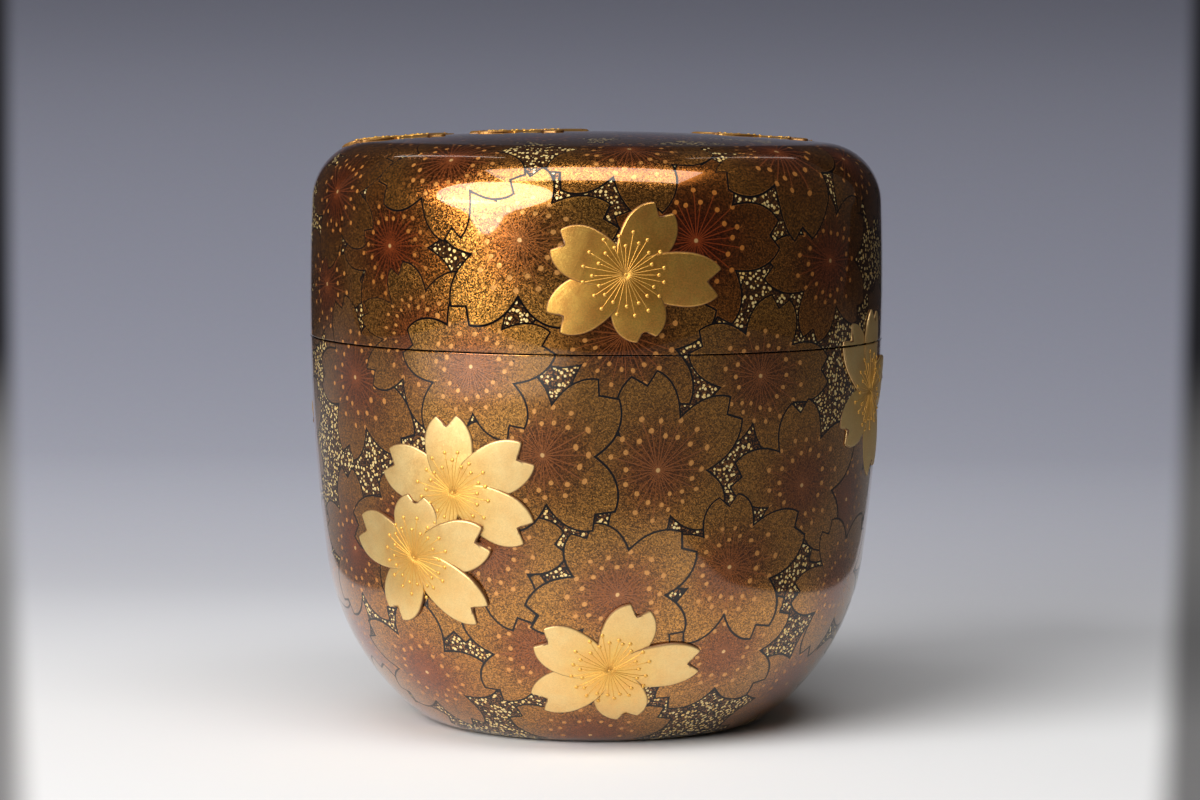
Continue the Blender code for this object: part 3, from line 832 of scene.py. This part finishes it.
flakes, given, result = new_group(
    "gold flakes",
    [("Place", "Vector"), ("Flakes per mm", "Float", 2.3), ("Size", "Float", 0.37),
     ("Left out", "Float", 0.03)],
    [("Flake", "Float"), ("Shade", "Float")])
distance, _, shade = cells_per_mm(given["Place"], given["Flakes per mm"])
spot = maths("LESS_THAN", distance, given["Size"] * blend_values(shade["Green"], SMALLEST, LARGEST))
there = maths("GREATER_THAN", shade["Red"], given["Left out"])
feed(result, {"Flake": spot * there, "Shade": shade["Blue"]})
print("groups:", [group.name for group in bpy.data.node_groups])

# %% [markdown]
# One group lays one painted blossom over whatever is under it. It takes a place in the regular blossom
# and folds the five petals on to one. The petal's edge is two half ellipses and a V at the tip, the same
# sums as above. Threads run out from the heart, long and short by turns, and each ends in an anther.

# %% One painted blossom
SOFT = 0.006
THREADS = 30
SECTOR = math.tau / THREADS
SHORT_THREAD, LONG_THREAD, THREAD_UNEVEN = 0.38, 0.54, 0.10
THREAD_WIDTH, THREAD_SOFT, THREAD_STRENGTH = 0.0060, 0.0036, 0.8
THREAD_SWAY = 0.45 * SECTOR
DRAW_SPREAD = 917.0               # sets the random draws of one blossom apart from another's
ANTHER, HEART = 0.028, 0.024
GOLD_RIM, GOLD_HEART = (0.43, 0.200, 0.040, 1.0), (0.24, 0.080, 0.018, 1.0)
RED_RIM, RED_HEART = (0.35, 0.115, 0.020, 1.0), (0.20, 0.032, 0.007, 1.0)
GOLD_THREAD, RED_THREAD = (0.30, 0.11, 0.034, 1.0), (0.36, 0.062, 0.013, 1.0)
GOLD_ANTHER, RED_ANTHER = (0.74, 0.35, 0.10, 1.0), (0.74, 0.26, 0.05, 1.0)
LINE_BLACK, HEART_GOLD = (0.004, 0.003, 0.003, 1.0), (0.85, 0.50, 0.20, 1.0)
FADE_FROM, FADE_TO = 0.15, 0.85
GRAIN_POWER, GRAIN_DARK, GRAIN_BRIGHT = 1.5, 0.38, 1.95
PETAL_METAL, THREAD_METAL, ANTHER_METAL = 0.92, 0.6, 0.6

blossom_group, given, result = new_group(
    "painted blossom",
    [("Under Colour", "Color"), ("Under Metal", "Float", 0.0), ("Place", "Vector"),
     ("Red", "Float", 0.3), ("Grain", "Float", 0.5)],
    [("Colour", "Color"), ("Metal", "Float")])
axes = add("ShaderNodeSeparateXYZ", given["Place"])
reach = vectors("LENGTH", given["Place"], output="Value")
turn = maths("ARCTAN2", axes["Y"], axes["X"])


def folded(number, sector, sway=0.0):
    """How far along the middle line of its sector a place lies, and how far off it."""
    off = turn - number * sector
    if sway:
        off = off + sway
    return reach * maths("COSINE", off), abs(reach * maths("SINE", off))


def squared(value):
    return maths("POWER", value, 2.0)


along, across = folded(maths("ROUND", turn / math.radians(FIFTH)), math.radians(FIFTH))
half = blend_values(maths("GREATER_THAN", along, BELLY), BELLY, FAR_HALF)
u, v = (along - BELLY) / half, across / HALF_WIDTH
slope = maths("SQRT", squared(u / half) + squared(v / HALF_WIDTH)) * 2.0
notch = (along - CLEFT - across * CLEFT_SLOPE) / math.sqrt(1 + CLEFT_SLOPE**2)
edge = maths("MAXIMUM", (u * u + v * v - 1.0) / slope, notch)
petal = step_down(edge, 0.0, SOFT)
covered = step_down(edge, LINE, SOFT)

number, red = maths("ROUND", turn / SECTOR), given["Red"]
draws = add("ShaderNodeTexWhiteNoise", None, number + red * DRAW_SPREAD, noise_dimensions="1D")
draws = add("ShaderNodeSeparateColor", draws["Color"])
along, across = folded(number, SECTOR, (draws["Red"] - 0.5) * THREAD_SWAY)
length = blend_values(abs(maths("MODULO", number, 2.0)), SHORT_THREAD, LONG_THREAD)
length = length + (draws["Green"] - 0.5) * THREAD_UNEVEN
thread = step_down(across, THREAD_WIDTH, THREAD_SOFT) * maths("LESS_THAN", along, length)
beyond = along - length
anther = step_down(maths("SQRT", beyond * beyond + across * across), ANTHER, SOFT)
heart = step_down(reach, HEART, SOFT)

fade = soft_step(reach, FADE_FROM, FADE_TO)
gold, reddish = blend_colours(fade, GOLD_HEART, GOLD_RIM), blend_colours(fade, RED_HEART, RED_RIM)
colour = blend_colours(red, gold, reddish)
sifted = blend_values(maths("POWER", given["Grain"], GRAIN_POWER), GRAIN_DARK, GRAIN_BRIGHT)
colour = blend_colours(1.0, colour, sifted, "MULTIPLY")
thread = thread * THREAD_STRENGTH
colour = blend_colours(thread, colour, blend_colours(red, GOLD_THREAD, RED_THREAD))
colour = blend_colours(anther, colour, blend_colours(red, GOLD_ANTHER, RED_ANTHER))
colour = blend_colours(petal, LINE_BLACK, blend_colours(heart, colour, HEART_GOLD))
metal = petal * blend_values(anther, blend_values(thread, PETAL_METAL, THREAD_METAL), ANTHER_METAL)
feed(result, {"Colour": blend_colours(covered, given["Under Colour"], colour),
              "Metal": blend_values(covered, given["Under Metal"], metal)})
print("painted blossom:", len(blossom_group.nodes), "nodes")

# %% [markdown]
# ## The two lacquers
#
# The decorated lacquer is built as the real one is: dark ground, flakes, up to four blossoms one over
# another, and a thick clear coat polished like glass. The powder scatters light widely, the coat
# reflects sharply, and that pair makes a white window of light with a golden glow round it.
#
# Inside, under the foot and on the collar the lacquer is plain black-brown with a faint dust of gold.

# %% Decorated lacquer
GROUND = (0.016, 0.007, 0.004, 1.0)
DUST, DUST_METAL, DUST_SHARE = (0.30, 0.12, 0.03, 1.0), 0.8, 0.3
FLAKE_GOLD, FLAKE_DEEP = (1.0, 0.80, 0.38, 1.0), (1.0, 0.64, 0.20, 1.0)
FLAKE_METAL, POWDER_TILT = 0.48, 0.06
POWDER_DULL, COAT_DULL = (0.11, 0.27), 0.025
CLEAR_COAT = {"Specular IOR Level": 0.0, "Coat Weight": 1.0}

decorated, finish = new_material("decorated lacquer")
place = place_on_piece()
sifted = place_group(powder, {"Place": place, "Tilt": POWDER_TILT})
grain = sifted["Grain"]
strewn = place_group(flakes, {"Place": place})
dust = maths("LESS_THAN", grain, DUST_SHARE)
flake_colour = blend_colours(strewn["Shade"], FLAKE_DEEP, FLAKE_GOLD)
colour = blend_colours(strewn["Flake"], blend_colours(dust, GROUND, DUST), flake_colour)
metal = blend_values(strewn["Flake"], dust * DUST_METAL, FLAKE_METAL)
redness = add("ShaderNodeAttribute", attribute_name="blossom_red")
channels = add("ShaderNodeSeparateColor", redness["Color"])
tints = (channels["Red"], channels["Green"], channels["Blue"], redness["Alpha"])
for layer in reversed(range(LAYERS)):
    spot = add("ShaderNodeUVMap", uv_map=f"blossom_{layer + 1}")["UV"]
    laid = place_group(blossom_group, {"Under Colour": colour, "Under Metal": metal, "Place": spot,
                                       "Red": tints[layer], "Grain": grain})
    colour, metal = laid["Colour"], laid["Metal"]
feed(finish, {"Base Color": colour, "Metallic": metal, "Normal": sifted["Normal"],
              "Roughness": blend_values(grain, *POWDER_DULL), "Coat Roughness": COAT_DULL, **CLEAR_COAT})
print("decorated lacquer:", len(decorated.node_tree.nodes), "nodes")

# %% Plain lacquer
PLAIN_BLACK, PLAIN_BROWN = (0.010, 0.006, 0.005, 1.0), (0.024, 0.011, 0.008, 1.0)
PLAIN_CLOUDS = 90.0               # the scale of all clouds counts per metre
PLAIN_DULL, PLAIN_COAT_DULL = (0.22, 0.34), 0.05

plain, finish = new_material("plain lacquer")
place = place_on_piece()
cloud = clouds(place, PLAIN_CLOUDS)
dust = place_group(flakes, {"Place": place, "Flakes per mm": 2.6, "Size": 0.16, "Left out": 0.9})["Flake"]
colour = blend_colours(dust, blend_colours(cloud, PLAIN_BLACK, PLAIN_BROWN), FLAKE_DEEP)
feed(finish, {"Base Color": colour, "Metallic": dust, "Roughness": blend_values(cloud, *PLAIN_DULL),
              "Coat Roughness": PLAIN_COAT_DULL, **CLEAR_COAT})
print("plain lacquer:", len(plain.node_tree.nodes), "nodes")


def finish_turned(piece, faces, body, node):
    """Gives the outer wall the decorated lacquer and the rest the plain one, and hands the piece over."""
    piece.data.materials.append(decorated)
    piece.data.materials.append(plain)
    piece.data.polygons.foreach_set("material_index", np.where(faces[0], 0, 1))
    piece.data.update()
    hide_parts(node)
    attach(piece, body)


finish_turned(caddy_cup, cup_faces, "body", "caddy_body")
finish_turned(caddy_cap, lid_faces, "lid", "caddy_lid")

# %% [markdown]
# ## The raised blossoms
#
# These are built up in layers of lacquer and charcoal powder, then covered with pale gold. Each petal is
# a thin plate of its own: a grid shaped to the petal's outline, given its thickness by Solidify and its
# soft rim by Bevel. It is slightly domed, and it leans a little to one side, so each rides over the next
# one round. The threads are half-sunk round wires, and each ends in a low bead.
#
# Everything is first made flat, as on a bench, with its height as Z, and only then laid on the wall.

# %% Where the raised blossoms lie
RELIEF = 0.35 * MM
PETAL_HALF = 3.0 * MM
RAISED_ON_WALL = {
    "blossom_body_under": ("body", -28.5, 0.655 * BODY_HEIGHT, 0.0,
                           ((27, 10.0), (94, 8.5), (162, 9.6), (230, 9.0), (334, 9.6))),
    "blossom_body_over": ("body", -38.5, 0.485 * BODY_HEIGHT, 0.27 * MM,
                          ((15, 9.7), (83, 7.1), (164, 9.4), (239, 8.1), (322, 10.0))),
    "blossom_body_low": ("body", 3.5, 0.219 * BODY_HEIGHT, 0.0,
                         ((0, 10.0), (67, 8.2), (156, 8.6), (215, 9.4), (287, 7.7))),
    "blossom_body_back_high": ("body", 142.0, 0.700 * BODY_HEIGHT, 0.0,
                               ((20, 9.0), (88, 8.4), (160, 9.4), (232, 8.6), (303, 9.3))),
    "blossom_body_back_low": ("body", 192.0, 0.316 * BODY_HEIGHT, 0.0,
                              ((40, 8.8), (110, 9.2), (184, 8.4), (252, 9.4), (330, 9.0))),
    "blossom_body_left": ("body", -104.0, 0.745 * BODY_HEIGHT, -0.18 * MM,
                          ((8, 8.6), (75, 9.4), (150, 8.8), (226, 9.2), (296, 8.4))),
    "blossom_lid_front": ("lid", 5.5, SEAM_HEIGHT + 8.7 * MM, 0.0,
                          ((355, 10.4), (60, 8.3), (154, 8.4), (214, 9.3), (288, 7.4))),
    "blossom_lid_back": ("lid", 168.0, SEAM_HEIGHT + 9.0 * MM, 0.0,
                         ((30, 9.0), (98, 8.2), (172, 9.2), (240, 8.8), (314, 9.2))),
}
SEAM_BLOSSOM = (70.0, SEAM_HEIGHT - 5.4 * MM, ((6, 9.4), (84, 9.2), (135, 9.8), (214, 8.4), (290, 10.2)))
SEAM_SINK = 0.12 * MM             # the one across the seam is laid thinner than the others
TOP_SINK = 0.18 * MM              # and those on the lid's top thinner still
RAISED_ON_TOP = {
    "blossom_top_left": (-23.5, 1.5, ((24, 7.2), (98, 7.8), (170, 6.0), (236, 7.4), (310, 7.8))),
    "blossom_top_middle": (-8.5, 4.0, ((4, 7.6), (76, 8.2), (138, 7.4), (212, 6.8), (290, 8.0))),
    "blossom_top_right": (19.0, 9.5, ((12, 7.2), (82, 7.8), (156, 8.2), (226, 8.4), (300, 8.0))),
}


def seat_on_side(azimuth, height):
    return wall_frame(np.radians(azimuth), run_at_height(height))


def seat_on_top(x, y):
    """Centre, right, up and outward direction on the lid's dome, as seen from above."""
    out = np.array([x * MM, y * MM, math.sqrt(CROWN[2] ** 2 - (x * MM) ** 2 - (y * MM) ** 2)]) / CROWN[2]
    centre = out * CROWN[2] + np.array([0.0, 0.0, CROWN[1]])
    right = np.cross([0.0, 1.0, 0.0], out)
    right /= np.linalg.norm(right)
    return centre, right, np.cross(out, right), out


print("raised blossoms:", len(RAISED_ON_WALL) + len(RAISED_ON_TOP) + 2)

# %% One petal, one thread and one bead
PETAL_ROWS, PETAL_COLUMNS = 16, 10
RIM_ROUND, RIM_STEPS, RIM_SHARP = 0.2 * MM, 2, math.radians(50)
DOME, TIP_DOME = 0.22, 0.132      # how much lower a petal's long edges and its tip lie, of its height
PETAL_LEAN = 0.05                 # rise across a petal, so that each rides over the next one round
LEAN_FROM, LEAN_FULL = 1.4 * MM, 4.4 * MM     # the lean begins a little out from the heart
STEEP_FROM, STEEP_FULL = 0.97, 0.67           # how upright the rim's normals are where the brown shows
THREAD_THICK = 0.042 * MM
THREAD_SIDES, THREAD_CUTS = 6, 5
BEAD, BEAD_HEIGHT = 0.22 * MM, 0.11 * MM


def lean_at(along, across):
    return PETAL_LEAN * across * np.clip((along - LEAN_FROM) / (LEAN_FULL - LEAN_FROM), 0, 1)


def flat_petal(length, depth):
    """A petal from the blossom's centre out along +X, its top at Z = RELIEF, and depth thick."""
    petal = begin(bpy.ops.mesh.primitive_grid_add, "petal", x_subdivisions=PETAL_ROWS,
                  y_subdivisions=PETAL_COLUMNS, size=2)
    belly, lobe = BELLY * length, LOBE * length
    far = (length - belly) / math.sqrt(1 - (lobe / PETAL_HALF) ** 2)
    last = math.asin(lobe / PETAL_HALF)
    for vertex in petal.data.vertices:
        share, side = (vertex.co.x + 1) / 2, vertex.co.y
        if share < 0.5:
            turn, half = math.pi - share * math.pi, belly
        else:
            turn, half = math.pi / 2 + (share - 0.5) * 2 * (last - math.pi / 2), far
        x, y = belly + half * math.cos(turn), PETAL_HALF * math.sin(turn)
        height = RELIEF * (1 - DOME * (abs(side) * y / PETAL_HALF) ** 3 - TIP_DOME * share**6)
        x, y = x * (1 - (1 - CLEFT) * (1 - abs(side)) * share**3), y * side
        vertex.co = (x, y, height + lean_at(x, y))
    only(petal)
    with editing():
        bpy.ops.mesh.select_all(action="SELECT")
        bpy.ops.mesh.remove_doubles(threshold=WELD)
        bpy.ops.mesh.normals_make_consistent(inside=False)
    if petal.data.polygons[0].normal.z < 0:
        petal.data.flip_normals()
    thick = petal.modifiers.new("thickness", "SOLIDIFY")
    thick.thickness, thick.offset = depth, -1.0
    rim = petal.modifiers.new("soft rim", "BEVEL")
    rim.width, rim.segments, rim.angle_limit = RIM_ROUND, RIM_STEPS, RIM_SHARP
    rim.use_clamp_overlap = False
    for modifier in ("thickness", "soft rim"):
        bpy.ops.object.modifier_apply(modifier=modifier)
    # Steep rim faces are marked, where the gold is painted brown as shade.
    upright = np.array([vertex.normal.z for vertex in petal.data.vertices])
    steep = np.clip((STEEP_FROM - upright) / (STEEP_FROM - STEEP_FULL), 0, 1)
    petal.data.attributes.new("rim", "FLOAT", "POINT").data.foreach_set("value", steep)
    return petal


def flat_thread():
    """A wire of length 1 along +X, cut crosswise so that it can bend."""
    wire = begin(bpy.ops.mesh.primitive_cylinder_add, "thread", vertices=THREAD_SIDES, radius=1.0,
                 depth=1.0, end_fill_type="TRIFAN")
    select_edges(wire, lambda a, b: abs(a.z - b.z) > 0.5)
    with editing():
        bpy.ops.mesh.subdivide(number_cuts=THREAD_CUTS)
    bpy.context.tool_settings.mesh_select_mode = (True, False, False)
    bpy.ops.object.shade_smooth()
    wire.data.transform(Matrix.Rotation(math.pi / 2, 4, "Y") @ Matrix.Translation((0.0, 0.0, 0.5)))
    return wire


thread_pattern = flat_thread()
bead_pattern = begin(bpy.ops.mesh.primitive_uv_sphere_add, "bead", segments=10, ring_count=6, radius=1.0)
bpy.ops.object.shade_smooth()
print("thread", len(thread_pattern.data.polygons), "faces, bead", len(bead_pattern.data.polygons), "faces")

# %% [markdown]
# The gold of the petals is laid thick and burnished with a soft sheen, warmer at the heart and paler at
# the rim. The lid's front blossom and those on its top have shaded gold, a darker copy of the pale gold
# that stands in for shade. Steep rims are painted brown as shade, a painted shadow line round each petal.

# %% Pale gold, shaded gold and deep gold
PALE_RIM, PALE_HEART = (0.97, 0.67, 0.28, 1.0), (0.91, 0.52, 0.12, 1.0)
# Shaded gold is a darker copy of the pale gold, painted shade for the lid's blossoms.
SHADED_RIM, SHADED_HEART = (0.95, 0.50, 0.11, 1.0), (0.88, 0.41, 0.06, 1.0)
# Painted shade: steep rims turn brown, a painted shadow line round each petal and where petals overlap.
RIM_SHADE_BROWN, RIM_METAL = (0.17, 0.075, 0.027, 1.0), 0.3
DEEP_GOLD, DEEP_SHADE = (0.88, 0.52, 0.12, 1.0), (0.74, 0.40, 0.08, 1.0)
CLOUD_SHARE, GRAIN_SHARE = 0.25, 0.5
HEART_END, RIM_START = 0.05, 0.75     # in units of the map "flower"
GOLD_CLOUDS, GOLD_DETAIL, DEEP_CLOUDS = 700.0, 4.0, 1500.0
DULL_SPREAD, DEEP_DULL = 0.06, (0.4, 0.55)


def laid_gold(name, at_rim, at_heart, metal, dull, grain_dark):
    material, finish = new_material(name)
    place = place_on_piece()
    reach = vectors("LENGTH", add("ShaderNodeUVMap", uv_map="flower")["UV"], output="Value")
    colour = blend_colours(soft_step(reach, HEART_END, RIM_START), at_heart, at_rim)
    cloud = clouds(place, GOLD_CLOUDS, GOLD_DETAIL)
    colour = blend_colours(CLOUD_SHARE, colour, cloud, "OVERLAY")
    sifted = place_group(powder, {"Place": place, "Grains per mm": 9.0, "Tilt": POWDER_TILT})
    colour = blend_colours(GRAIN_SHARE, colour, blend_values(sifted["Grain"], grain_dark, 1.0), "MULTIPLY")
    # The rim mark paints the brown shade line on steep rims.
    rim = add("ShaderNodeAttribute", attribute_name="rim")["Fac"]
    feed(finish, {"Base Color": blend_colours(rim, colour, RIM_SHADE_BROWN),
                  "Metallic": blend_values(rim, metal, RIM_METAL),
                  "Roughness": blend_values(cloud, dull - DULL_SPREAD, dull + DULL_SPREAD),
                  "Normal": sifted["Normal"]})
    return material


pale_gold = laid_gold("pale gold", PALE_RIM, PALE_HEART, 0.85, 0.40, 0.8)
shaded_gold = laid_gold("shaded gold", SHADED_RIM, SHADED_HEART, 0.94, 0.33, 0.4)

deep_gold, finish = new_material("deep gold")
cloud = clouds(place_on_piece(), DEEP_CLOUDS)
feed(finish, {"Base Color": blend_colours(cloud, DEEP_SHADE, DEEP_GOLD), "Metallic": 0.8,
              "Roughness": blend_values(cloud, *DEEP_DULL)})
print("gold ready")

# %% Build a blossom flat, and lay it on the wall
RAISED_THREADS = 32
THREAD_FROM = 0.12 * MM
RAISED_SHORT, RAISED_LONG, RAISED_UNEVEN = 3.3 * MM, 4.3 * MM, 0.35
RAISED_SWAY = 0.2                 # of the turn from one thread to the next
HEART_BEAD = 0.2 * MM
HEART_LEVEL = 0.7 * RELIEF        # the threads never lie lower than this
UNDER_CENTRE = (5.7 * MM, 7.5 * MM)     # centre of the under blossom, seen from the one over it
SETTLE_START, SETTLE_END = 9.7 * MM, 12.7 * MM
FLOWER_UNIT = 10 * MM             # one unit of the map "flower"
LAY_ROUNDS, LEAST_FACING = 12, 0.2


def petal_height(places, petals):
    """Height of the topmost petal at flat places within the reach of the threads."""
    top = np.full(len(places), HEART_LEVEL)
    for direction, length in petals:
        turn, belly = math.radians(direction), BELLY * length * MM
        along = places[:, 0] * math.cos(turn) + places[:, 1] * math.sin(turn)
        across = places[:, 1] * math.cos(turn) - places[:, 0] * math.sin(turn)
        under = ((along - belly) / belly) ** 2 + (across / PETAL_HALF) ** 2 < 1
        height = RELIEF * (1 - DOME * abs(across / PETAL_HALF) ** 3) + lean_at(along, across)
        top = np.where(under, np.maximum(top, height), top)
    return top


def copy_of(pattern, matrix, petals, lift):
    """A copy of a pattern, moved by matrix and then raised on to the petals."""
    piece = bpy.data.objects.new(pattern.name, pattern.data.copy())
    bpy.context.scene.collection.objects.link(piece)
    piece.data.transform(matrix)
    places = vertex_places(piece.data)
    places[:, 2] += petal_height(places, petals) + lift
    piece.data.vertices.foreach_set("co", places.ravel())
    piece.data.materials.append(deep_gold)
    return piece


def settle(mesh, lift):
    """Lets down the part of a lifted blossom that is clear of the blossom under it."""
    places = vertex_places(mesh)
    apart = np.hypot(places[:, 0] - UNDER_CENTRE[0], places[:, 1] - UNDER_CENTRE[1])
    share = np.clip((SETTLE_END - apart) / (SETTLE_END - SETTLE_START), 0, 1)
    places[:, 2] -= lift * (1 - share * share * (3 - 2 * share))
    mesh.vertices.foreach_set("co", places.ravel())


def flat_blossom(name, petals, lift, gold=pale_gold):
    pieces = []
    for direction, length in petals:
        petal = flat_petal(length * MM, RELIEF + lift + PETAL_LEAN * PETAL_HALF)
        turned = Matrix.Rotation(math.radians(direction), 4, "Z")
        petal.data.transform(Matrix.Translation((0, 0, lift)) @ turned)
        petal.data.materials.append(gold)
        pieces.append(petal)
    for i in range(RAISED_THREADS):
        turn = math.tau * (i + scatter.uniform(-RAISED_SWAY, RAISED_SWAY)) / RAISED_THREADS
        end = (RAISED_LONG if i % 2 else RAISED_SHORT) + scatter.uniform(-RAISED_UNEVEN, RAISED_UNEVEN) * MM
        around = Matrix.Rotation(turn, 4, "Z")
        stretch = Matrix.Diagonal((end - THREAD_FROM, THREAD_THICK, THREAD_THICK, 1.0))
        along = around @ Matrix.Translation((THREAD_FROM, 0, 0)) @ stretch
        at_end = around @ Matrix.Translation((end, 0, 0)) @ Matrix.Diagonal((BEAD, BEAD, BEAD_HEIGHT, 1.0))
        pieces += [copy_of(thread_pattern, along, petals, lift), copy_of(bead_pattern, at_end, petals, lift)]
    heart = Matrix.Diagonal((HEART_BEAD, HEART_BEAD, BEAD_HEIGHT, 1.0))
    pieces.append(copy_of(bead_pattern, heart, petals, lift))
    only(pieces[0])
    for piece in pieces:
        piece.select_set(True)
    bpy.ops.object.join()
    blossom = bpy.context.object
    blossom.name = blossom.data.name = name
    if lift > 0:
        settle(blossom.data, lift)
    return blossom


def lay_on_wall(piece, seat):
    """Each point goes straight in along the blossom's own normal to the wall, then out by its height."""
    centre, right, up, out = seat
    mesh = piece.data
    flat, corner = vertex_places(mesh), corner_vertices(mesh)
    for layer in list(mesh.uv_layers):
        mesh.uv_layers.remove(layer)
    mesh.uv_layers.new(name="flower").uv.foreach_set("vector", (flat[corner, :2] / FLOWER_UNIT).ravel())
    foot = centre + flat[:, :1] * right + flat[:, 1:2] * up
    for _ in range(LAY_ROUNDS):
        _, gap, normal = nearest_on_outline(foot)
        foot -= (gap / np.maximum(normal @ out, LEAST_FACING))[:, None] * out
    _, _, normal = nearest_on_outline(foot)
    mesh.vertices.foreach_set("co", (foot + normal * flat[:, 2:]).ravel())
    mesh.update()


def cut_at(piece, height, keep_above):
    only(piece)
    with editing():
        bpy.ops.mesh.select_all(action="SELECT")
        bpy.ops.mesh.bisect(plane_co=(0, 0, height), plane_no=(0, 0, 1), use_fill=True,
                            clear_inner=keep_above, clear_outer=not keep_above)


def raised_blossom(node, body, seat, petals, lift, gold=pale_gold, cut=None):
    """Builds the blossom of a CAD node, lays it in its place, cuts it if asked, and hands it over."""
    piece = flat_blossom(node.replace("blossom", "gold"), petals, lift, gold)
    lay_on_wall(piece, seat)
    if cut:
        cut_at(piece, *cut)
    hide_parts(node)
    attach(piece, body)
    return piece


# The lid's blossoms get the shaded gold: painted shade.
for node, (body, azimuth, height, lift, petals) in RAISED_ON_WALL.items():
    gold = shaded_gold if node == "blossom_lid_front" else pale_gold
    raised_blossom(node, body, seat_on_side(azimuth, height), petals, lift, gold)
for node, (x, y, petals) in RAISED_ON_TOP.items():
    piece = raised_blossom(node, "lid", seat_on_top(x, y), petals, -TOP_SINK, shaded_gold)
print("a raised blossom has", len(piece.data.polygons), "faces")

# %% [markdown]
# One raised blossom lies across the seam. On the real caddy it is cut through there, and its halves
# line up when the lid is closed. It is made whole, twice, and each copy loses the part beyond its edge.

# %% Cut the seam blossom
azimuth, height, petals = SEAM_BLOSSOM
state = scatter.getstate()
for node, body, level, above in (("blossom_seam_lid_half", "lid", LID_RIM + SEAM_EDGE_ROUND, True),
                                 ("blossom_seam_body_half", "body", BODY_HEIGHT - SEAM_EDGE_ROUND, False)):
    scatter.setstate(state)
    raised_blossom(node, body, seat_on_side(azimuth, height), petals, -SEAM_SINK, cut=(level, above))
for pattern in (thread_pattern, bead_pattern):
    bpy.data.objects.remove(pattern)
